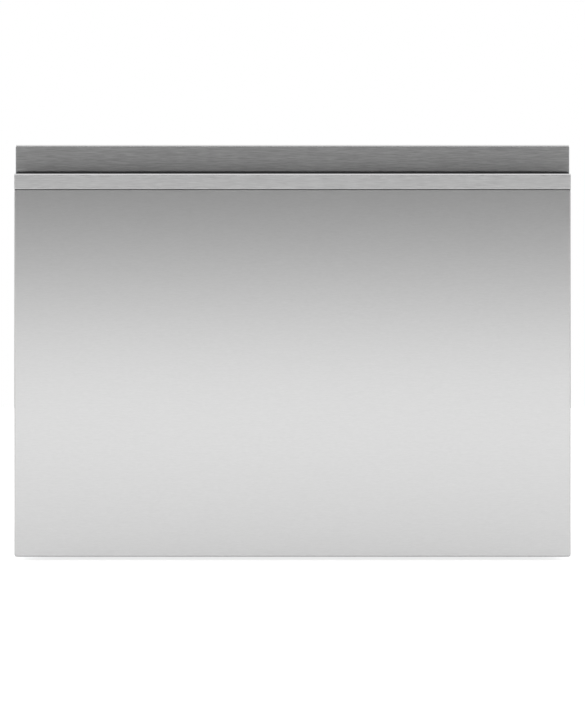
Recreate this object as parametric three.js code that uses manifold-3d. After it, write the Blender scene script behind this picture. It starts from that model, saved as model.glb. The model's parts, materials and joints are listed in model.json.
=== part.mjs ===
// A built-in dishwasher drawer of the tall, single kind: a sheet-steel chassis with two full-extension
// ball runners, a moulded tub that slides out on them behind a brushed-steel front, a lid that the
// chassis lowers onto the tub, and the wash system, racks and dispenser that the tub carries.
// Millimetres. +X is to the right, +Y to the rear, +Z up. The origin is on the ground, under the middle.
import * as THREE from 'three';
import { mergeVertices } from 'three/addons/utils/BufferGeometryUtils.js';
import Module from 'manifold-3d';

const wasm = await Module();
wasm.setup();

// ---------------------------------------------------------------- driving dimensions
const productDepth = 573; // front face to the rear edge of the chassis
const fit = 0.3; // gap between two pieces that touch
const sheet = 1; // chassis sheet steel

const chassisWidth = 599;
const chassisBottom = 10;
const chassisTop = 445;
const frontGap = 2.5; // behind the closed front
const rearRecess = 12; // the rear panel lies this far in, so that the ports don't stick out
const sideFlange = 14; // folded front edge of each side panel
const trayFlange = 14; // upturned sides of the base tray
const trayLip = 4.5; // its front edge, low enough for the wash motor to pass
const topFlange = 12; // downturned edge of the top panel
const beadDepth = 2.5; // stiffening beads pressed into the sheet
const beadWidth = 18;
const beadInset = 98; // from the side panels to the ends of the cross beads
const portInset = 110; // from the chassis sides to the water ports

const footInset = 44; // from the chassis side to the foot's axis
const frontFootSetback = 84; // from the chassis front to the front feet
const rearFootSetback = 36;
const footRadius = 18;
const footStemRadius = 5;

const frontWidth = chassisWidth - 4;
const frontBottom = 4; // clears the shelf
const frontThickness = 40.5; // face to the back of the moulded backing
const skinHeight = chassisTop - 52.7;
const skinReturn = 36; // depth of the folded edges
const skinSheet = 1.2;
const skinBend = 1.6;
const seam = 0.7; // dark line between the panel and the lip
const lipHeight = 16.8;
const lipThickness = 3.5;
const lipFoot = 16; // the foot of the lip, under the recess channel
const recessDepth = 24; // lip face to fascia face
const fasciaGap = 3.2; // dark line above the lip
const fasciaHeight = 28.9;
const fasciaSheet = 1;
const fasciaBend = 2;
const fasciaReturn = 10; // the fascia's edge, folded down at the back
const backingWall = 2.5;

const panelWidth = 300; // control strip in the top of the fascia
const panelDepth = 9.4;
const panelHeight = 15;
const buttonWidth = 24;
const buttonDepth = 6;
const buttonHeight = 5;
const buttonTravel = 0.8;
const buttonPitch = 56;

const runnerHeight = 46;
const runnerDepth = 12.7;
const runnerLength = productDepth - 93;
const runnerLevel = chassisTop - 195;
const runnerSheet = 1.5;
const ballRadius = 1.5;
const ballPitch = 60;
const ballCount = 3; // in each row

const tubWall = 3;
const tubInnerWidth = chassisWidth - 79; // leaves the room for runners and lid lift at each side
const tubInnerDepth = productDepth - 121; // leaves the room for the front and for the hoses behind
const tubCorner = 45;
const tubRim = chassisTop - 47; // level of the rim: room for the lid above it
const tubFloor = 74; // level of the floor at the walls
const floorFall = 6; // to the sump
const tubDraft = 5; // the walls draw in this much towards the floor
const rimFlange = 9;
const rimThickness = 4;
const railHeight = 36; // moulded rail that the inner runner is screwed to
const railThickness = 4;
const railRibs = 5;

const sumpRadius = 108;
const sumpDepth = 30;
const sumpBowlRadius = 96;
const spigotRadius = 9;
const motorRadius = 62;
const motorHeight = 14.7;
const shaftRadius = 4;
const impellerRadius = 34;
const drainImpellerRadius = 20;
const heaterRadius = 70;
const heaterTube = 3.2;
const standpipeRadius = 14;
const armTop = 91; // top of the spray arm
const armThickness = 13;
const armReach = Math.min(tubInnerWidth, tubInnerDepth) / 2 - 31;
const filterRadius = 24;
const filterX = 55;
const filterY = -30;

const dispenserWidth = 150;
const dispenserHeight = 76;
const dispenserLevel = tubRim - 62;
const dispenserFlange = 4;
const dispenserDepth = 26;
const doorWidth = 60;
const doorHeight = 54;
const capRadius = 16;

const rackLevel = 100; // floor wires of the base rack
const rackWidth = tubInnerWidth - 48;
const rackDepth = tubInnerDepth - 48;
const rackHeight = 115;
const wireRadius = 2;
const tineRadius = 1.8;
const tineHeight = 88;
const tinePitch = 33;
const tineCount = 10;
const tineRows = 4;
const tineRowPitch = 97;
const tineRowStart = 35; // from the left of the rack to the first row
const cupShelfLevel = tubRim - 113;
const cupShelfReach = 104;
const cupShelfLength = 330;
const basketWidth = 44;
const basketLength = 246;
const basketHeight = 108;
const basketWall = 2;

const lidTravel = 10;
const lidHeight = 26;
const lidWall = 3;
const sealHeight = 6;
const sealWidth = 9;
const actuatorLength = 84;
const actuatorThickness = 20;
const actuatorHeight = 76;
const liftRodRadius = 5;

const drainHoseRadius = 10;
const fillHoseRadius = 6;
const loomRadius = 4.5;
const hoseLoopTop = tubRim - 48; // the drain hose's high loop keeps waste water from running back

// ---------------------------------------------------------------- places worked out from them
const frontFace = -productDepth / 2;
const rearEdge = productDepth / 2;
const frontBack = frontFace + frontThickness;
const chassisFront = frontBack + frontGap;
const sideInner = chassisWidth / 2 - sheet;
const rearPanelY = rearEdge - rearRecess;
const skinTop = frontBottom + skinHeight;
const lipBottom = skinTop + seam;
const lipTop = lipBottom + lipHeight;
const fasciaFace = frontFace + recessDepth;
const fasciaBottom = lipTop + fasciaGap;
const fasciaTop = fasciaBottom + fasciaHeight;
const tubFront = frontBack + fit;
const tubHalfX = tubInnerWidth / 2;
const tubHalfY = tubInnerDepth / 2;
const tubY = tubFront + rimFlange + tubWall + tubHalfY;
const wallFace = tubY - tubHalfY; // inner face of the tub's front wall, at the rim
const tubFillet = 12; // between the floor and the walls
const draftAt = (z) => (tubDraft * (tubRim - z)) / (tubRim - tubFloor - tubFillet);
const sumpTop = tubFloor - floorFall - tubWall - 1; // under the tub floor, at the sump hole
const runnerFace = sideInner - fit; // the outer runner's back
const railFace = runnerFace - runnerDepth - fit;
const rackLeft = -rackWidth / 2;
const rackFront = tubY - rackDepth / 2;
const lidSealBottom = tubRim + fit + 0.1 + lidTravel;
const lidBottom = lidSealBottom + sealHeight;
const actuatorY = tubY;
const rearSpace = (tubY + tubHalfY + tubWall + rearPanelY) / 2 + 2; // middle of the room behind the tub

// ---------------------------------------------------------------- materials
const finish = (color, roughness, metalness) => new THREE.MeshStandardMaterial(
  { color, roughness, metalness },
);
const brushedSteel = finish(0xc9cacb, 0.32, 1);
const lipSteel = finish(0xd2d2d2, 0.3, 1);
const fasciaSteel = finish(0xa9a9a9, 0.34, 1);
const galvanised = finish(0xb4b8bb, 0.45, 0.9);
const zincRunner = finish(0xc4c8cc, 0.3, 1);
const blackPlastic = finish(0x1d1e20, 0.5, 0);
const greyPlastic = finish(0x8e9294, 0.55, 0);
const tubPlastic = finish(0xc3c8cb, 0.42, 0);
const darkPlastic = finish(0x3a3d40, 0.55, 0);
const coatedWire = finish(0xa7adb1, 0.4, 0);
const sealRubber = finish(0x55595c, 0.7, 0);
const hoseRubber = finish(0x6d7274, 0.6, 0);
const elementSteel = finish(0x9b9c9a, 0.35, 1);

// ---------------------------------------------------------------- solid tools
const X = new THREE.Vector3(1, 0, 0);
const Y = new THREE.Vector3(0, 1, 0);
const Z = new THREE.Vector3(0, 0, 1);
const v2 = (x, y) => new THREE.Vector2(x, y);
const v3 = (x, y, z) => new THREE.Vector3(x, y, z);

function solid(geometry) {
  const bare = geometry.clone();
  bare.deleteAttribute('normal');
  bare.deleteAttribute('uv');
  const merged = mergeVertices(bare, 1e-4);
  const triVerts = new Uint32Array(merged.index.array);
  const vertProperties = merged.attributes.position.array;
  return new wasm.Manifold(new wasm.Mesh({ numProp: 3, vertProperties, triVerts }));
}

function geometryOf(manifold) {
  const { numProp, numVert, vertProperties, triVerts } = manifold.getMesh();
  const position = new Float32Array(numVert * 3);
  for (let i = 0; i < numVert; i += 1) {
    position.set(vertProperties.subarray(i * numProp, i * numProp + 3), i * 3);
  }
  const geometry = new THREE.BufferGeometry();
  geometry.setAttribute('position', new THREE.BufferAttribute(position, 3));
  geometry.setIndex(new THREE.BufferAttribute(new Uint32Array(triVerts), 1));
  const flat = geometry.toNonIndexed();
  flat.computeVertexNormals();
  return flat;
}

const join = (solids) => solids.reduce((all, one) => all.add(one));
const cut = (body, tools) => tools.reduce((left, tool) => left.subtract(tool), body);

// A block between two corners, given as ranges along X, Y and Z.
function block([x0, x1], [y0, y1], [z0, z1]) {
  const box = new THREE.BoxGeometry(x1 - x0, y1 - y0, z1 - z0);
  return solid(box.translate((x0 + x1) / 2, (y0 + y1) / 2, (z0 + z1) / 2));
}

// Turns an extrusion along local Z so that its section lies across the axis that is asked for.
const turned = {
  x: new THREE.Matrix4().makeBasis(Y, Z, X),
  y: new THREE.Matrix4().makeBasis(Z, X, Y),
  z: new THREE.Matrix4(),
};

// A section swept along one axis. The points are (y, z) along x, (z, x) along y and (x, y) along z.
function sweep(axis, points, from, to, holes = []) {
  const shape = new THREE.Shape(points);
  shape.holes = holes.map((hole) => new THREE.Path(hole));
  const extruded = new THREE.ExtrudeGeometry(shape, { depth: to - from, bevelEnabled: false });
  return solid(extruded.translate(0, 0, from).applyMatrix4(turned[axis]));
}

// A round bar between two points. The turn sets which way its facets look.
function bar(from, to, radius, sides = 6, turn = 0) {
  const along = to.clone().sub(from);
  const cylinder = new THREE.CylinderGeometry(radius, radius, along.length(), sides, 1, false, turn);
  cylinder.applyQuaternion(new THREE.Quaternion().setFromUnitVectors(Y, along.clone().normalize()));
  const middle = from.clone().add(to).multiplyScalar(0.5);
  return solid(cylinder.translate(middle.x, middle.y, middle.z));
}

// Bars from point to point. Each runs on by a radius, so that the corners close.
function wire(points, radius, sides = 6) {
  const bars = [];
  for (let i = 1; i < points.length; i += 1) {
    const step = points[i].clone().sub(points[i - 1]).normalize().multiplyScalar(radius * 0.8);
    bars.push(bar(points[i - 1].clone().sub(step), points[i].clone().add(step), radius, sides));
  }
  return join(bars);
}

// A profile of (radius, z) points turned about a vertical axis.
function lathe(profile, x = 0, y = 0, sides = 32) {
  const turnedShape = new THREE.LatheGeometry(profile.map(([r, z]) => v2(r, z)), sides);
  return solid(turnedShape.rotateX(Math.PI / 2).translate(x, y, 0));
}

// The outline of a rectangle with round corners, as points.
function roundedRectangle(x, y, halfX, halfY, radius, steps = 4) {
  const points = [];
  [[1, 1], [-1, 1], [-1, -1], [1, -1]].forEach(([sx, sy], corner) => {
    for (let i = 0; i <= steps; i += 1) {
      const angle = (corner + i / steps) * (Math.PI / 2);
      const cx = x + sx * (halfX - radius);
      const cy = y + sy * (halfY - radius);
      points.push(v2(cx + radius * Math.cos(angle), cy + radius * Math.sin(angle)));
    }
  });
  return points;
}

// A closed skin over a stack of convex rings that have the same number of points.
function loft(rings) {
  const count = rings[0].length;
  const position = rings.flatMap((ring) => ring.flatMap((p) => [p.x, p.y, p.z]));
  const index = [];
  for (let r = 1; r < rings.length; r += 1) {
    for (let i = 0; i < count; i += 1) {
      const a = (r - 1) * count + i;
      const b = (r - 1) * count + ((i + 1) % count);
      index.push(a, b, b + count, a, b + count, a + count);
    }
  }
  const last = (rings.length - 1) * count;
  for (let i = 1; i < count - 1; i += 1) {
    index.push(0, i + 1, i, last, last + i, last + i + 1);
  }
  const geometry = new THREE.BufferGeometry();
  geometry.setAttribute('position', new THREE.Float32BufferAttribute(position, 3));
  geometry.setIndex(index);
  return solid(geometry);
}

const ringAt = (points, z) => points.map((p) => v3(p.x, p.y, z));

// The tube of a hose: a round section carried along a smooth curve through the points.
function hose(points, radius, sides = 8) {
  const curve = new THREE.CatmullRomCurve3(points, false, 'centripetal');
  const section = new THREE.Shape(
    Array.from({ length: sides }, (_, i) => {
      const angle = (i / sides) * Math.PI * 2;
      return v2(radius * Math.cos(angle), radius * Math.sin(angle));
    }),
  );
  const steps = Math.round(curve.getLength() / (6 * radius));
  return solid(new THREE.ExtrudeGeometry(section, { steps, extrudePath: curve }));
}

const product = new THREE.Group();

function place(group, name, body, material) {
  const mesh = new THREE.Mesh(geometryOf(body), material);
  mesh.name = name;
  group.add(mesh);
}

function subassembly() {
  const group = new THREE.Group();
  product.add(group);
  return group;
}

// ---------------------------------------------------------------- chassis
const chassis = subassembly();

// A stiffening bead: pressed out of the sheet on one side and hollow on the other.
function bead(body, axis, from, to, across, level, direction) {
  const shape = (half, depth, start) => {
    const low = [across - half, across - half + depth, across + half - depth, across + half];
    const rise = [start, start + direction * depth, start + direction * depth, start];
    return low.map((a, i) => v2(a, rise[i]));
  };
  const raised = shape(beadWidth / 2, beadDepth, level);
  const hollow = shape(beadWidth / 2 - sheet, beadDepth, level - direction * sheet);
  return body.add(sweep(axis, raised, from, to)).subtract(sweep(axis, hollow, from + sheet, to - sheet));
}

function sidePanel(side) {
  const outer = chassisWidth / 2;
  const web = block([sideInner, outer], [chassisFront, rearEdge], [chassisBottom, chassisTop]);
  const flangeX = [sideInner - sideFlange, sideInner + sheet / 2];
  const flangeZ = [chassisBottom + sheet + fit, chassisTop - sheet - fit];
  const flange = block(flangeX, [chassisFront, chassisFront + sheet], flangeZ);
  const passage = runnerHeight / 2 + 5; // the runners leave through here
  const notch = [runnerLevel - passage, runnerLevel + passage];
  const cutter = block([sideInner - sideFlange - 1, sideInner], [chassisFront - 1, chassisFront + 2], notch);
  let panel = web.add(cut(flange, [cutter]));
  [0.25, 0.42].forEach((share) => {
    const z = chassisBottom + share * (chassisTop - chassisBottom);
    panel = bead(panel, 'y', chassisFront + 60, rearEdge - 60, z, sideInner, -1);
  });
  const holes = [chassisBottom + 40, chassisTop - 60].map((z) =>
    bar(v3(sideInner - 2, chassisFront + 24, z), v3(outer + 2, chassisFront + 24, z), 3.2, 10),
  );
  panel = cut(panel, holes);
  return side > 0 ? panel : panel.mirror([1, 0, 0]);
}

const linerHalf = sideInner - fit; // pieces that lie between the side panels

function topPanel() {
  const plate = block([-linerHalf, linerHalf], [chassisFront, rearEdge], [chassisTop - sheet, chassisTop]);
  const drop = [chassisTop - topFlange, chassisTop - sheet / 2];
  const flanges = [-1, 1].map((side) => {
    const edges = [side * linerHalf, side * (linerHalf - sheet)].sort((a, b) => a - b);
    return block(edges, [chassisFront + sheet + fit, rearEdge], drop);
  });
  let panel = join([plate, ...flanges]);
  [-150, 0, 150].forEach((y) => {
    panel = bead(panel, 'x', -linerHalf + beadInset, linerHalf - beadInset, y, chassisTop - sheet, -1);
  });
  return panel;
}

const footPlaces = [
  ['foot_front_left', -1, chassisFront + frontFootSetback],
  ['foot_front_right', 1, chassisFront + frontFootSetback],
  ['foot_rear_left', -1, rearEdge - rearFootSetback],
  ['foot_rear_right', 1, rearEdge - rearFootSetback],
];
const footX = chassisWidth / 2 - footInset;
const footBossTop = chassisBottom + sheet + 9;

function baseTray() {
  const floor = block(
    [-linerHalf, linerHalf], [chassisFront, rearEdge], [chassisBottom, chassisBottom + sheet],
  );
  const rise = [chassisBottom + sheet / 2, chassisBottom + trayFlange];
  const flanges = [-1, 1].map((side) => {
    const edges = [side * linerHalf, side * (linerHalf - sheet)].sort((a, b) => a - b);
    return block(edges, [chassisFront + sheet + fit, rearEdge], rise);
  });
  const lip = block(
    [-linerHalf + sideFlange + 2, linerHalf - sideFlange - 2],
    [chassisFront, chassisFront + sheet],
    [rise[0], chassisBottom + trayLip],
  );
  let tray = join([floor, ...flanges, lip]);
  [-110, 90].forEach((y) => {
    tray = bead(tray, 'x', -linerHalf + beadInset, linerHalf - beadInset, y, chassisBottom + sheet, 1);
  });
  const bosses = footPlaces.map(([, side, y]) =>
    bar(v3(side * footX, y, chassisBottom + sheet / 2), v3(side * footX, y, footBossTop), 10, 6),
  );
  const bores = footPlaces.map(([, side, y]) =>
    bar(
      v3(side * footX, y, chassisBottom - 1),
      v3(side * footX, y, footBossTop + 1),
      footStemRadius + fit * 1.5,
      8,
    ),
  );
  return cut(join([tray, ...bosses]), bores);
}

// Ports in the rear panel: place across the panel, level and hole radius.
const valvePort = { x: -chassisWidth / 2 + portInset, z: 52, radius: 15 };
const drainPort = { x: chassisWidth / 2 - portInset, z: 58, radius: 13 };
const drainSpout = drainPort.z + 22; // top of the outlet's elbow
const valveSpout = { y: rearPanelY - 36, z: valvePort.z + 22 };
const powerPort = { x: -40, z: 46, radius: 10 };

function rearPanel() {
  const half = linerHalf - sheet - fit;
  const levels = [chassisBottom + sheet + fit, chassisTop - sheet - fit];
  const pan = block([-half, half], [rearPanelY, rearEdge], levels);
  const inside = block(
    [-half + sheet, half - sheet],
    [rearPanelY + sheet, rearEdge + 1],
    [levels[0] + sheet, levels[1] - sheet],
  );
  let panel = cut(pan, [inside]);
  [150, 260, 370].forEach((z) => {
    const raised = [
      v2(rearPanelY, z - 8), v2(rearPanelY + 3, z - 5), v2(rearPanelY + 3, z + 5), v2(rearPanelY, z + 8),
    ];
    panel = panel.add(sweep('x', raised.map((p) => v2(p.x + sheet / 2, p.y)), -220, 220));
  });
  const holes = [valvePort, drainPort, powerPort].map(({ x, z, radius }) =>
    bar(v3(x, rearPanelY - 1, z), v3(x, rearEdge + 1, z), radius + fit, 16),
  );
  return cut(panel, holes);
}

// A levelling foot: pad on the ground, hexagon for the spanner, stem up through the tray's nut.
function foot(x, y) {
  const pad = [[0, 0], [footRadius, 0], [footRadius, 2.5], [12, 5], [8, 5.5], [0, 5.5]];
  const hexagon = bar(v3(x, y, 5), v3(x, y, chassisBottom - fit), 9, 6);
  const stem = bar(v3(x, y, 5), v3(x, y, footBossTop + 6), footStemRadius, 8);
  return join([lathe(pad, x, y, 14), hexagon, stem]);
}

place(chassis, 'side_panel_left', sidePanel(-1), galvanised);
place(chassis, 'side_panel_right', sidePanel(1), galvanised);
place(chassis, 'top_panel', topPanel(), galvanised);
place(chassis, 'base_tray', baseTray(), galvanised);
place(chassis, 'rear_panel', rearPanel(), galvanised);
footPlaces.forEach(([name, side, y]) => place(chassis, name, foot(side * footX, y), blackPlastic));

// The water inlet valve: its threaded port looks out of the rear panel, its coil stands on top.
function inletValve() {
  const { x, z, radius } = valvePort;
  const inner = rearPanelY - 26;
  const port = bar(v3(x, inner, z), v3(x, rearEdge - 1, z), radius - 2, 16);
  const collar = bar(v3(x, rearPanelY - 5, z), v3(x, rearPanelY - fit, z), radius + 4, 16);
  const coil = block([x - 14, x + 14], [inner - 1, inner + 20], [z + 6, z + 46]);
  const elbow = block([x - 7.5, x + 7.5], [valveSpout.y - 7.5, inner + 2], [z - 7.5, z + 7.5]);
  const spout = bar(v3(x, valveSpout.y, z), v3(x, valveSpout.y, valveSpout.z), fillHoseRadius, 10);
  const bore = bar(v3(x, rearPanelY + 2, z), v3(x, rearEdge, z), radius - 5, 16);
  return cut(join([port, collar, coil, elbow, spout]), [bore]);
}

function drainOutlet() {
  const { x, z, radius } = drainPort;
  const collar = bar(v3(x, rearPanelY - 5, z), v3(x, rearPanelY - fit, z), radius + 5, 16);
  const pipe = bar(v3(x, rearSpace - 8, z), v3(x, rearEdge - 1, z), radius - 2, 12);
  const elbow = bar(v3(x, rearSpace, z), v3(x, rearSpace, drainSpout), radius - 2, 12);
  const bore = bar(v3(x, rearPanelY - 10, z), v3(x, rearEdge, z), radius - 5, 16);
  return cut(join([collar, pipe, elbow]), [bore]);
}

function powerInlet() {
  const { x, z, radius } = powerPort;
  const body = block([x - 22, x + 22], [rearPanelY - 30, rearPanelY - fit], [z - 16, z + 16]);
  const gland = bar(v3(x, rearPanelY - 2, z), v3(x, rearEdge - 5, z), radius - 1, 12);
  const nut = bar(v3(x, rearPanelY + sheet + fit, z), v3(x, rearEdge - 7, z), radius + 2, 6);
  return join([body, gland, nut]);
}

place(chassis, 'water_inlet_valve', inletValve(), greyPlastic);
place(chassis, 'drain_outlet', drainOutlet(), darkPlastic);
place(chassis, 'power_inlet', powerInlet(), blackPlastic);

// ---------------------------------------------------------------- runners
const runners = subassembly();
const runnerFrom = chassisFront + 3;
const runnerTo = runnerFrom + runnerLength;
const runnerHalf = runnerHeight / 2;
const midHalf = runnerHalf - 5; // leaves a ball race of two ball diameters and a little play
const innerHalf = midHalf - 5;
const ballU = 8.2; // the balls' distance from the runner's back

// A channel section; u is the distance from the side panel and v the height about the runner's centre.
function channel(side, webU, edgeU, half) {
  const inward = Math.sign(edgeU - webU);
  const t = runnerSheet;
  const outline = [
    [webU, -half], [edgeU, -half], [edgeU, t - half], [webU + inward * t, t - half],
    [webU + inward * t, half - t], [edgeU, half - t], [edgeU, half], [webU, half],
  ];
  const points = outline.map(([u, v]) => v2(runnerLevel + v, side * (runnerFace - u)));
  return sweep('y', points, runnerFrom, runnerTo);
}

// Screw holes through a runner's web, clear of its flanges.
function runnerHoles(side, uFrom, uTo, radius) {
  return [0.1, 0.5, 0.9].map((share) => {
    const y = runnerFrom + share * runnerLength;
    const [from, to] = [uFrom, uTo].map((u) => v3(side * (runnerFace - u), y, runnerLevel));
    return bar(from, to, radius, 8);
  });
}

// A retainer strip with its balls, on one flange of the middle member.
function ballRow(side, flangeV, ballV, from) {
  const length = (ballCount - 1) * ballPitch;
  const centre = (y, v) => v3(side * (runnerFace - ballU), y, runnerLevel + v);
  const edges = [runnerFace - ballU - 1.6, runnerFace - ballU + 1.6].map((x) => side * x).sort(
    (a, b) => a - b,
  );
  const shift = Math.sign(ballV - flangeV);
  const levels = [flangeV - shift * 0.4, flangeV + shift * 0.9].map((v) => runnerLevel + v).sort(
    (a, b) => a - b,
  );
  const strip = block(edges, [from - 8, from + length + 8], levels);
  const balls = Array.from({ length: ballCount }, (_, i) => {
    const { x, y, z } = centre(from + i * ballPitch, ballV);
    return solid(new THREE.IcosahedronGeometry(ballRadius, 0).translate(x, y, z));
  });
  return join([strip, ...balls]);
}

function outerRunner(side) {
  return cut(channel(side, 0, 12, runnerHalf), runnerHoles(side, -1, 2.5, 2.6));
}

function middleRunner(side) {
  const body = cut(channel(side, 3, 12.4, midHalf), runnerHoles(side, 2, 5.5, 6));
  const race = midHalf + (runnerHalf - runnerSheet - midHalf) / 2;
  const innerRace = innerHalf + (midHalf - runnerSheet - innerHalf) / 2;
  const rearBalls = runnerTo - 20 - (ballCount - 1) * ballPitch;
  const frontBalls = runnerFrom + 20;
  const rows = [1, -1].flatMap((up) => [
    ballRow(side, up * midHalf, up * race, rearBalls),
    ballRow(side, up * (midHalf - runnerSheet), up * innerRace, frontBalls),
  ]);
  return join([body, ...rows]);
}

function innerRunner(side) {
  return cut(channel(side, runnerDepth, 6.3, innerHalf), runnerHoles(side, 10, 13.5, 2.6));
}

[['left', -1], ['right', 1]].forEach(([word, side]) => {
  place(runners, `outer_runner_${word}`, outerRunner(side), zincRunner);
  place(runners, `middle_runner_${word}`, middleRunner(side), zincRunner);
  place(runners, `inner_runner_${word}`, innerRunner(side), zincRunner);
});

// ---------------------------------------------------------------- drawer front
const drawerFront = subassembly();

// The steel skin: a shallow pan with folded edges. Its outline is drawn in X and Z and lofted along Y.
function frontSkin() {
  const z = frontBottom + skinHeight / 2;
  const outline = (inset, y) =>
    roundedRectangle(0, z, frontWidth / 2 - inset, skinHeight / 2 - inset, 2.2 - inset * 0.5, 3)
      .map((p) => v3(p.x, y, p.y));
  const bend = (angle) => [skinBend * (1 - Math.cos(angle)), frontFace + skinBend * (1 - Math.sin(angle))];
  const rings = [0, Math.PI / 6, Math.PI / 3, Math.PI / 2].map((angle) => outline(...bend(angle))).reverse();
  const pan = loft([...rings, outline(0, frontFace + skinReturn)].reverse());
  const inside = block(
    [-frontWidth / 2 + skinSheet, frontWidth / 2 - skinSheet],
    [frontFace + skinSheet, frontFace + skinReturn + 1],
    [frontBottom + skinSheet, skinTop - skinSheet],
  );
  return cut(pan, [inside]);
}

// The pull lip: an extruded bar whose foot runs back under the recess channel.
function handleLip() {
  const edge = 1;
  const back = frontFace + lipThickness;
  const points = [
    [frontFace + 0.5, lipBottom], [frontFace, lipBottom + 0.5], [frontFace, lipTop - edge],
    [frontFace + edge * 0.3, lipTop - edge * 0.3], [frontFace + edge, lipTop],
    [back - 0.6, lipTop], [back, lipTop - 0.6], [back, lipBottom + 4], [back + 2, lipBottom + 2],
    [back + lipFoot, lipBottom + 2], [back + lipFoot, lipBottom],
  ];
  return sweep('x', points.map(([y, z]) => v2(y, z)), -frontWidth / 2, frontWidth / 2);
}

// The dark channel behind the lip: the floor and the rear wall of the finger recess.
function recessChannel() {
  const half = frontWidth / 2;
  const from = frontFace + lipThickness + 2 + fit;
  const back = fasciaFace + 4;
  const floor = lipBottom + 2 + fit;
  const points = [
    [from, floor], [back, floor], [back, fasciaBottom - fit], [fasciaFace, fasciaBottom - fit],
    [fasciaFace, floor + 8], [fasciaFace - 1.2, floor + 5.2], [fasciaFace - 4, floor + 2.5],
    [from, floor + 2.5],
  ];
  return sweep('x', points.map(([y, z]) => v2(y, z)), -half, half);
}

const panelMid = (fasciaFace + frontBack) / 2;
const panelTopLevel = fasciaTop - 0.6;

// The upper band: sheet folded over the top edge, open below, with a window for the control strip.
function recessFascia() {
  const t = fasciaSheet;
  const fold = (radius, y, z) =>
    [0, 1, 2, 3].map((i) => {
      const angle = Math.PI - (i / 3) * (Math.PI / 2);
      return [y + radius * Math.cos(angle), z + radius * Math.sin(angle)];
    });
  const y = fasciaFace + fasciaBend;
  const z = fasciaTop - fasciaBend;
  const points = [
    [fasciaFace, fasciaBottom], ...fold(fasciaBend, y, z),
    [frontBack, fasciaTop], [frontBack, fasciaTop - fasciaReturn], [frontBack - t, fasciaTop - fasciaReturn],
    [frontBack - t, fasciaTop - t], ...fold(fasciaBend - t, y, z).reverse(), [fasciaFace + t, fasciaBottom],
  ];
  const band = sweep('x', points.map(([a, b]) => v2(a, b)), -frontWidth / 2, frontWidth / 2);
  const window = block(
    [-panelWidth / 2 - fit, panelWidth / 2 + fit],
    [panelMid - panelDepth / 2 - fit, panelMid + panelDepth / 2 + fit],
    [fasciaTop - t - 1, fasciaTop + 1],
  );
  return cut(band, [window]);
}

const buttonNames = ['power_button', 'program_button', 'delay_button', 'start_button'];
const buttonPlaces = buttonNames.map(
  (name, i) => ({ name, x: (i - (buttonNames.length - 1) / 2) * buttonPitch }),
);

function controlPanel() {
  const half = panelWidth / 2;
  const strip = block(
    [-half, half],
    [panelMid - panelDepth / 2, panelMid + panelDepth / 2],
    [panelTopLevel - panelHeight, panelTopLevel],
  );
  const wells = buttonPlaces.map(({ x }) =>
    block(
      [x - buttonWidth / 2 - fit, x + buttonWidth / 2 + fit],
      [panelMid - buttonDepth / 2 - fit, panelMid + buttonDepth / 2 + fit],
      [fasciaTop - buttonHeight - buttonTravel - fit, fasciaTop],
    ),
  );
  return cut(strip, wells);
}

function button(x) {
  const outline = (inset) =>
    roundedRectangle(x, panelMid, buttonWidth / 2 - inset, buttonDepth / 2 - inset, 1.4, 2);
  return loft([
    ringAt(outline(0), fasciaTop - buttonHeight),
    ringAt(outline(0), fasciaTop - 0.6),
    ringAt(outline(0.6), fasciaTop),
  ]);
}

const backingWidth = frontWidth - 2 * skinSheet - 2 * fit;
const dispenserHalf = dispenserWidth / 2 - 13; // the dispenser's body, behind its flange
const dispenserHalfHeight = dispenserHeight / 2 - 10;

// The moulded backing: a ribbed pan that fills the skin and carries the channel, fascia and control strip.
function frontBacking() {
  const half = backingWidth / 2;
  const low = frontBottom + skinSheet + fit;
  const high = skinTop - skinSheet - fit;
  const pan = block([-half, half], [frontFace + skinSheet + fit, frontBack], [low, high]);
  const hollow = block(
    [-half + backingWall, half - backingWall],
    [frontFace, frontBack - backingWall],
    [low + backingWall, high - backingWall],
  );
  const ribs = [-200, -100, 100, 200].map((x) =>
    block([x - 1, x + 1], [frontFace + 8, frontBack - 1], [low + 1, high - 1]),
  );
  const neck = block([-half, half], [frontFace + skinReturn + fit, frontBack], [high - 1, skinTop + 1]);
  const head = block(
    [-frontWidth / 2 + 2, frontWidth / 2 - 2],
    [fasciaFace + 4 + fit, frontBack],
    [skinTop + fit, fasciaBottom - 1],
  );
  const ledge = block(
    [-frontWidth / 2 + 2, frontWidth / 2 - 2],
    [fasciaFace + fasciaSheet + fit, frontBack - fasciaSheet - fit],
    [fasciaBottom + fit, panelTopLevel - panelHeight - fit],
  );
  const stem = block(
    [-frontWidth / 2 + 2, frontWidth / 2 - 2],
    [fasciaFace + 6, frontBack - 2],
    [fasciaBottom - 2, fasciaBottom + 1],
  );
  const opening = block(
    [-dispenserHalf - 2, dispenserHalf + 2],
    [frontFace, frontBack + 1],
    [dispenserLevel - dispenserHalfHeight - 2, dispenserLevel + dispenserHalfHeight + 2],
  );
  return cut(join([cut(pan, [hollow]), ...ribs, neck, head, ledge, stem]), [opening]);
}

place(drawerFront, 'front_skin', frontSkin(), brushedSteel);
place(drawerFront, 'handle_lip', handleLip(), lipSteel);
place(drawerFront, 'recess_channel', recessChannel(), blackPlastic);
place(drawerFront, 'recess_fascia', recessFascia(), fasciaSteel);
place(drawerFront, 'front_backing', frontBacking(), darkPlastic);
place(drawerFront, 'control_panel', controlPanel(), blackPlastic);
buttonPlaces.forEach(({ name, x }) => place(drawerFront, name, button(x), greyPlastic));

// ---------------------------------------------------------------- tub
const tubParts = subassembly();

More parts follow.
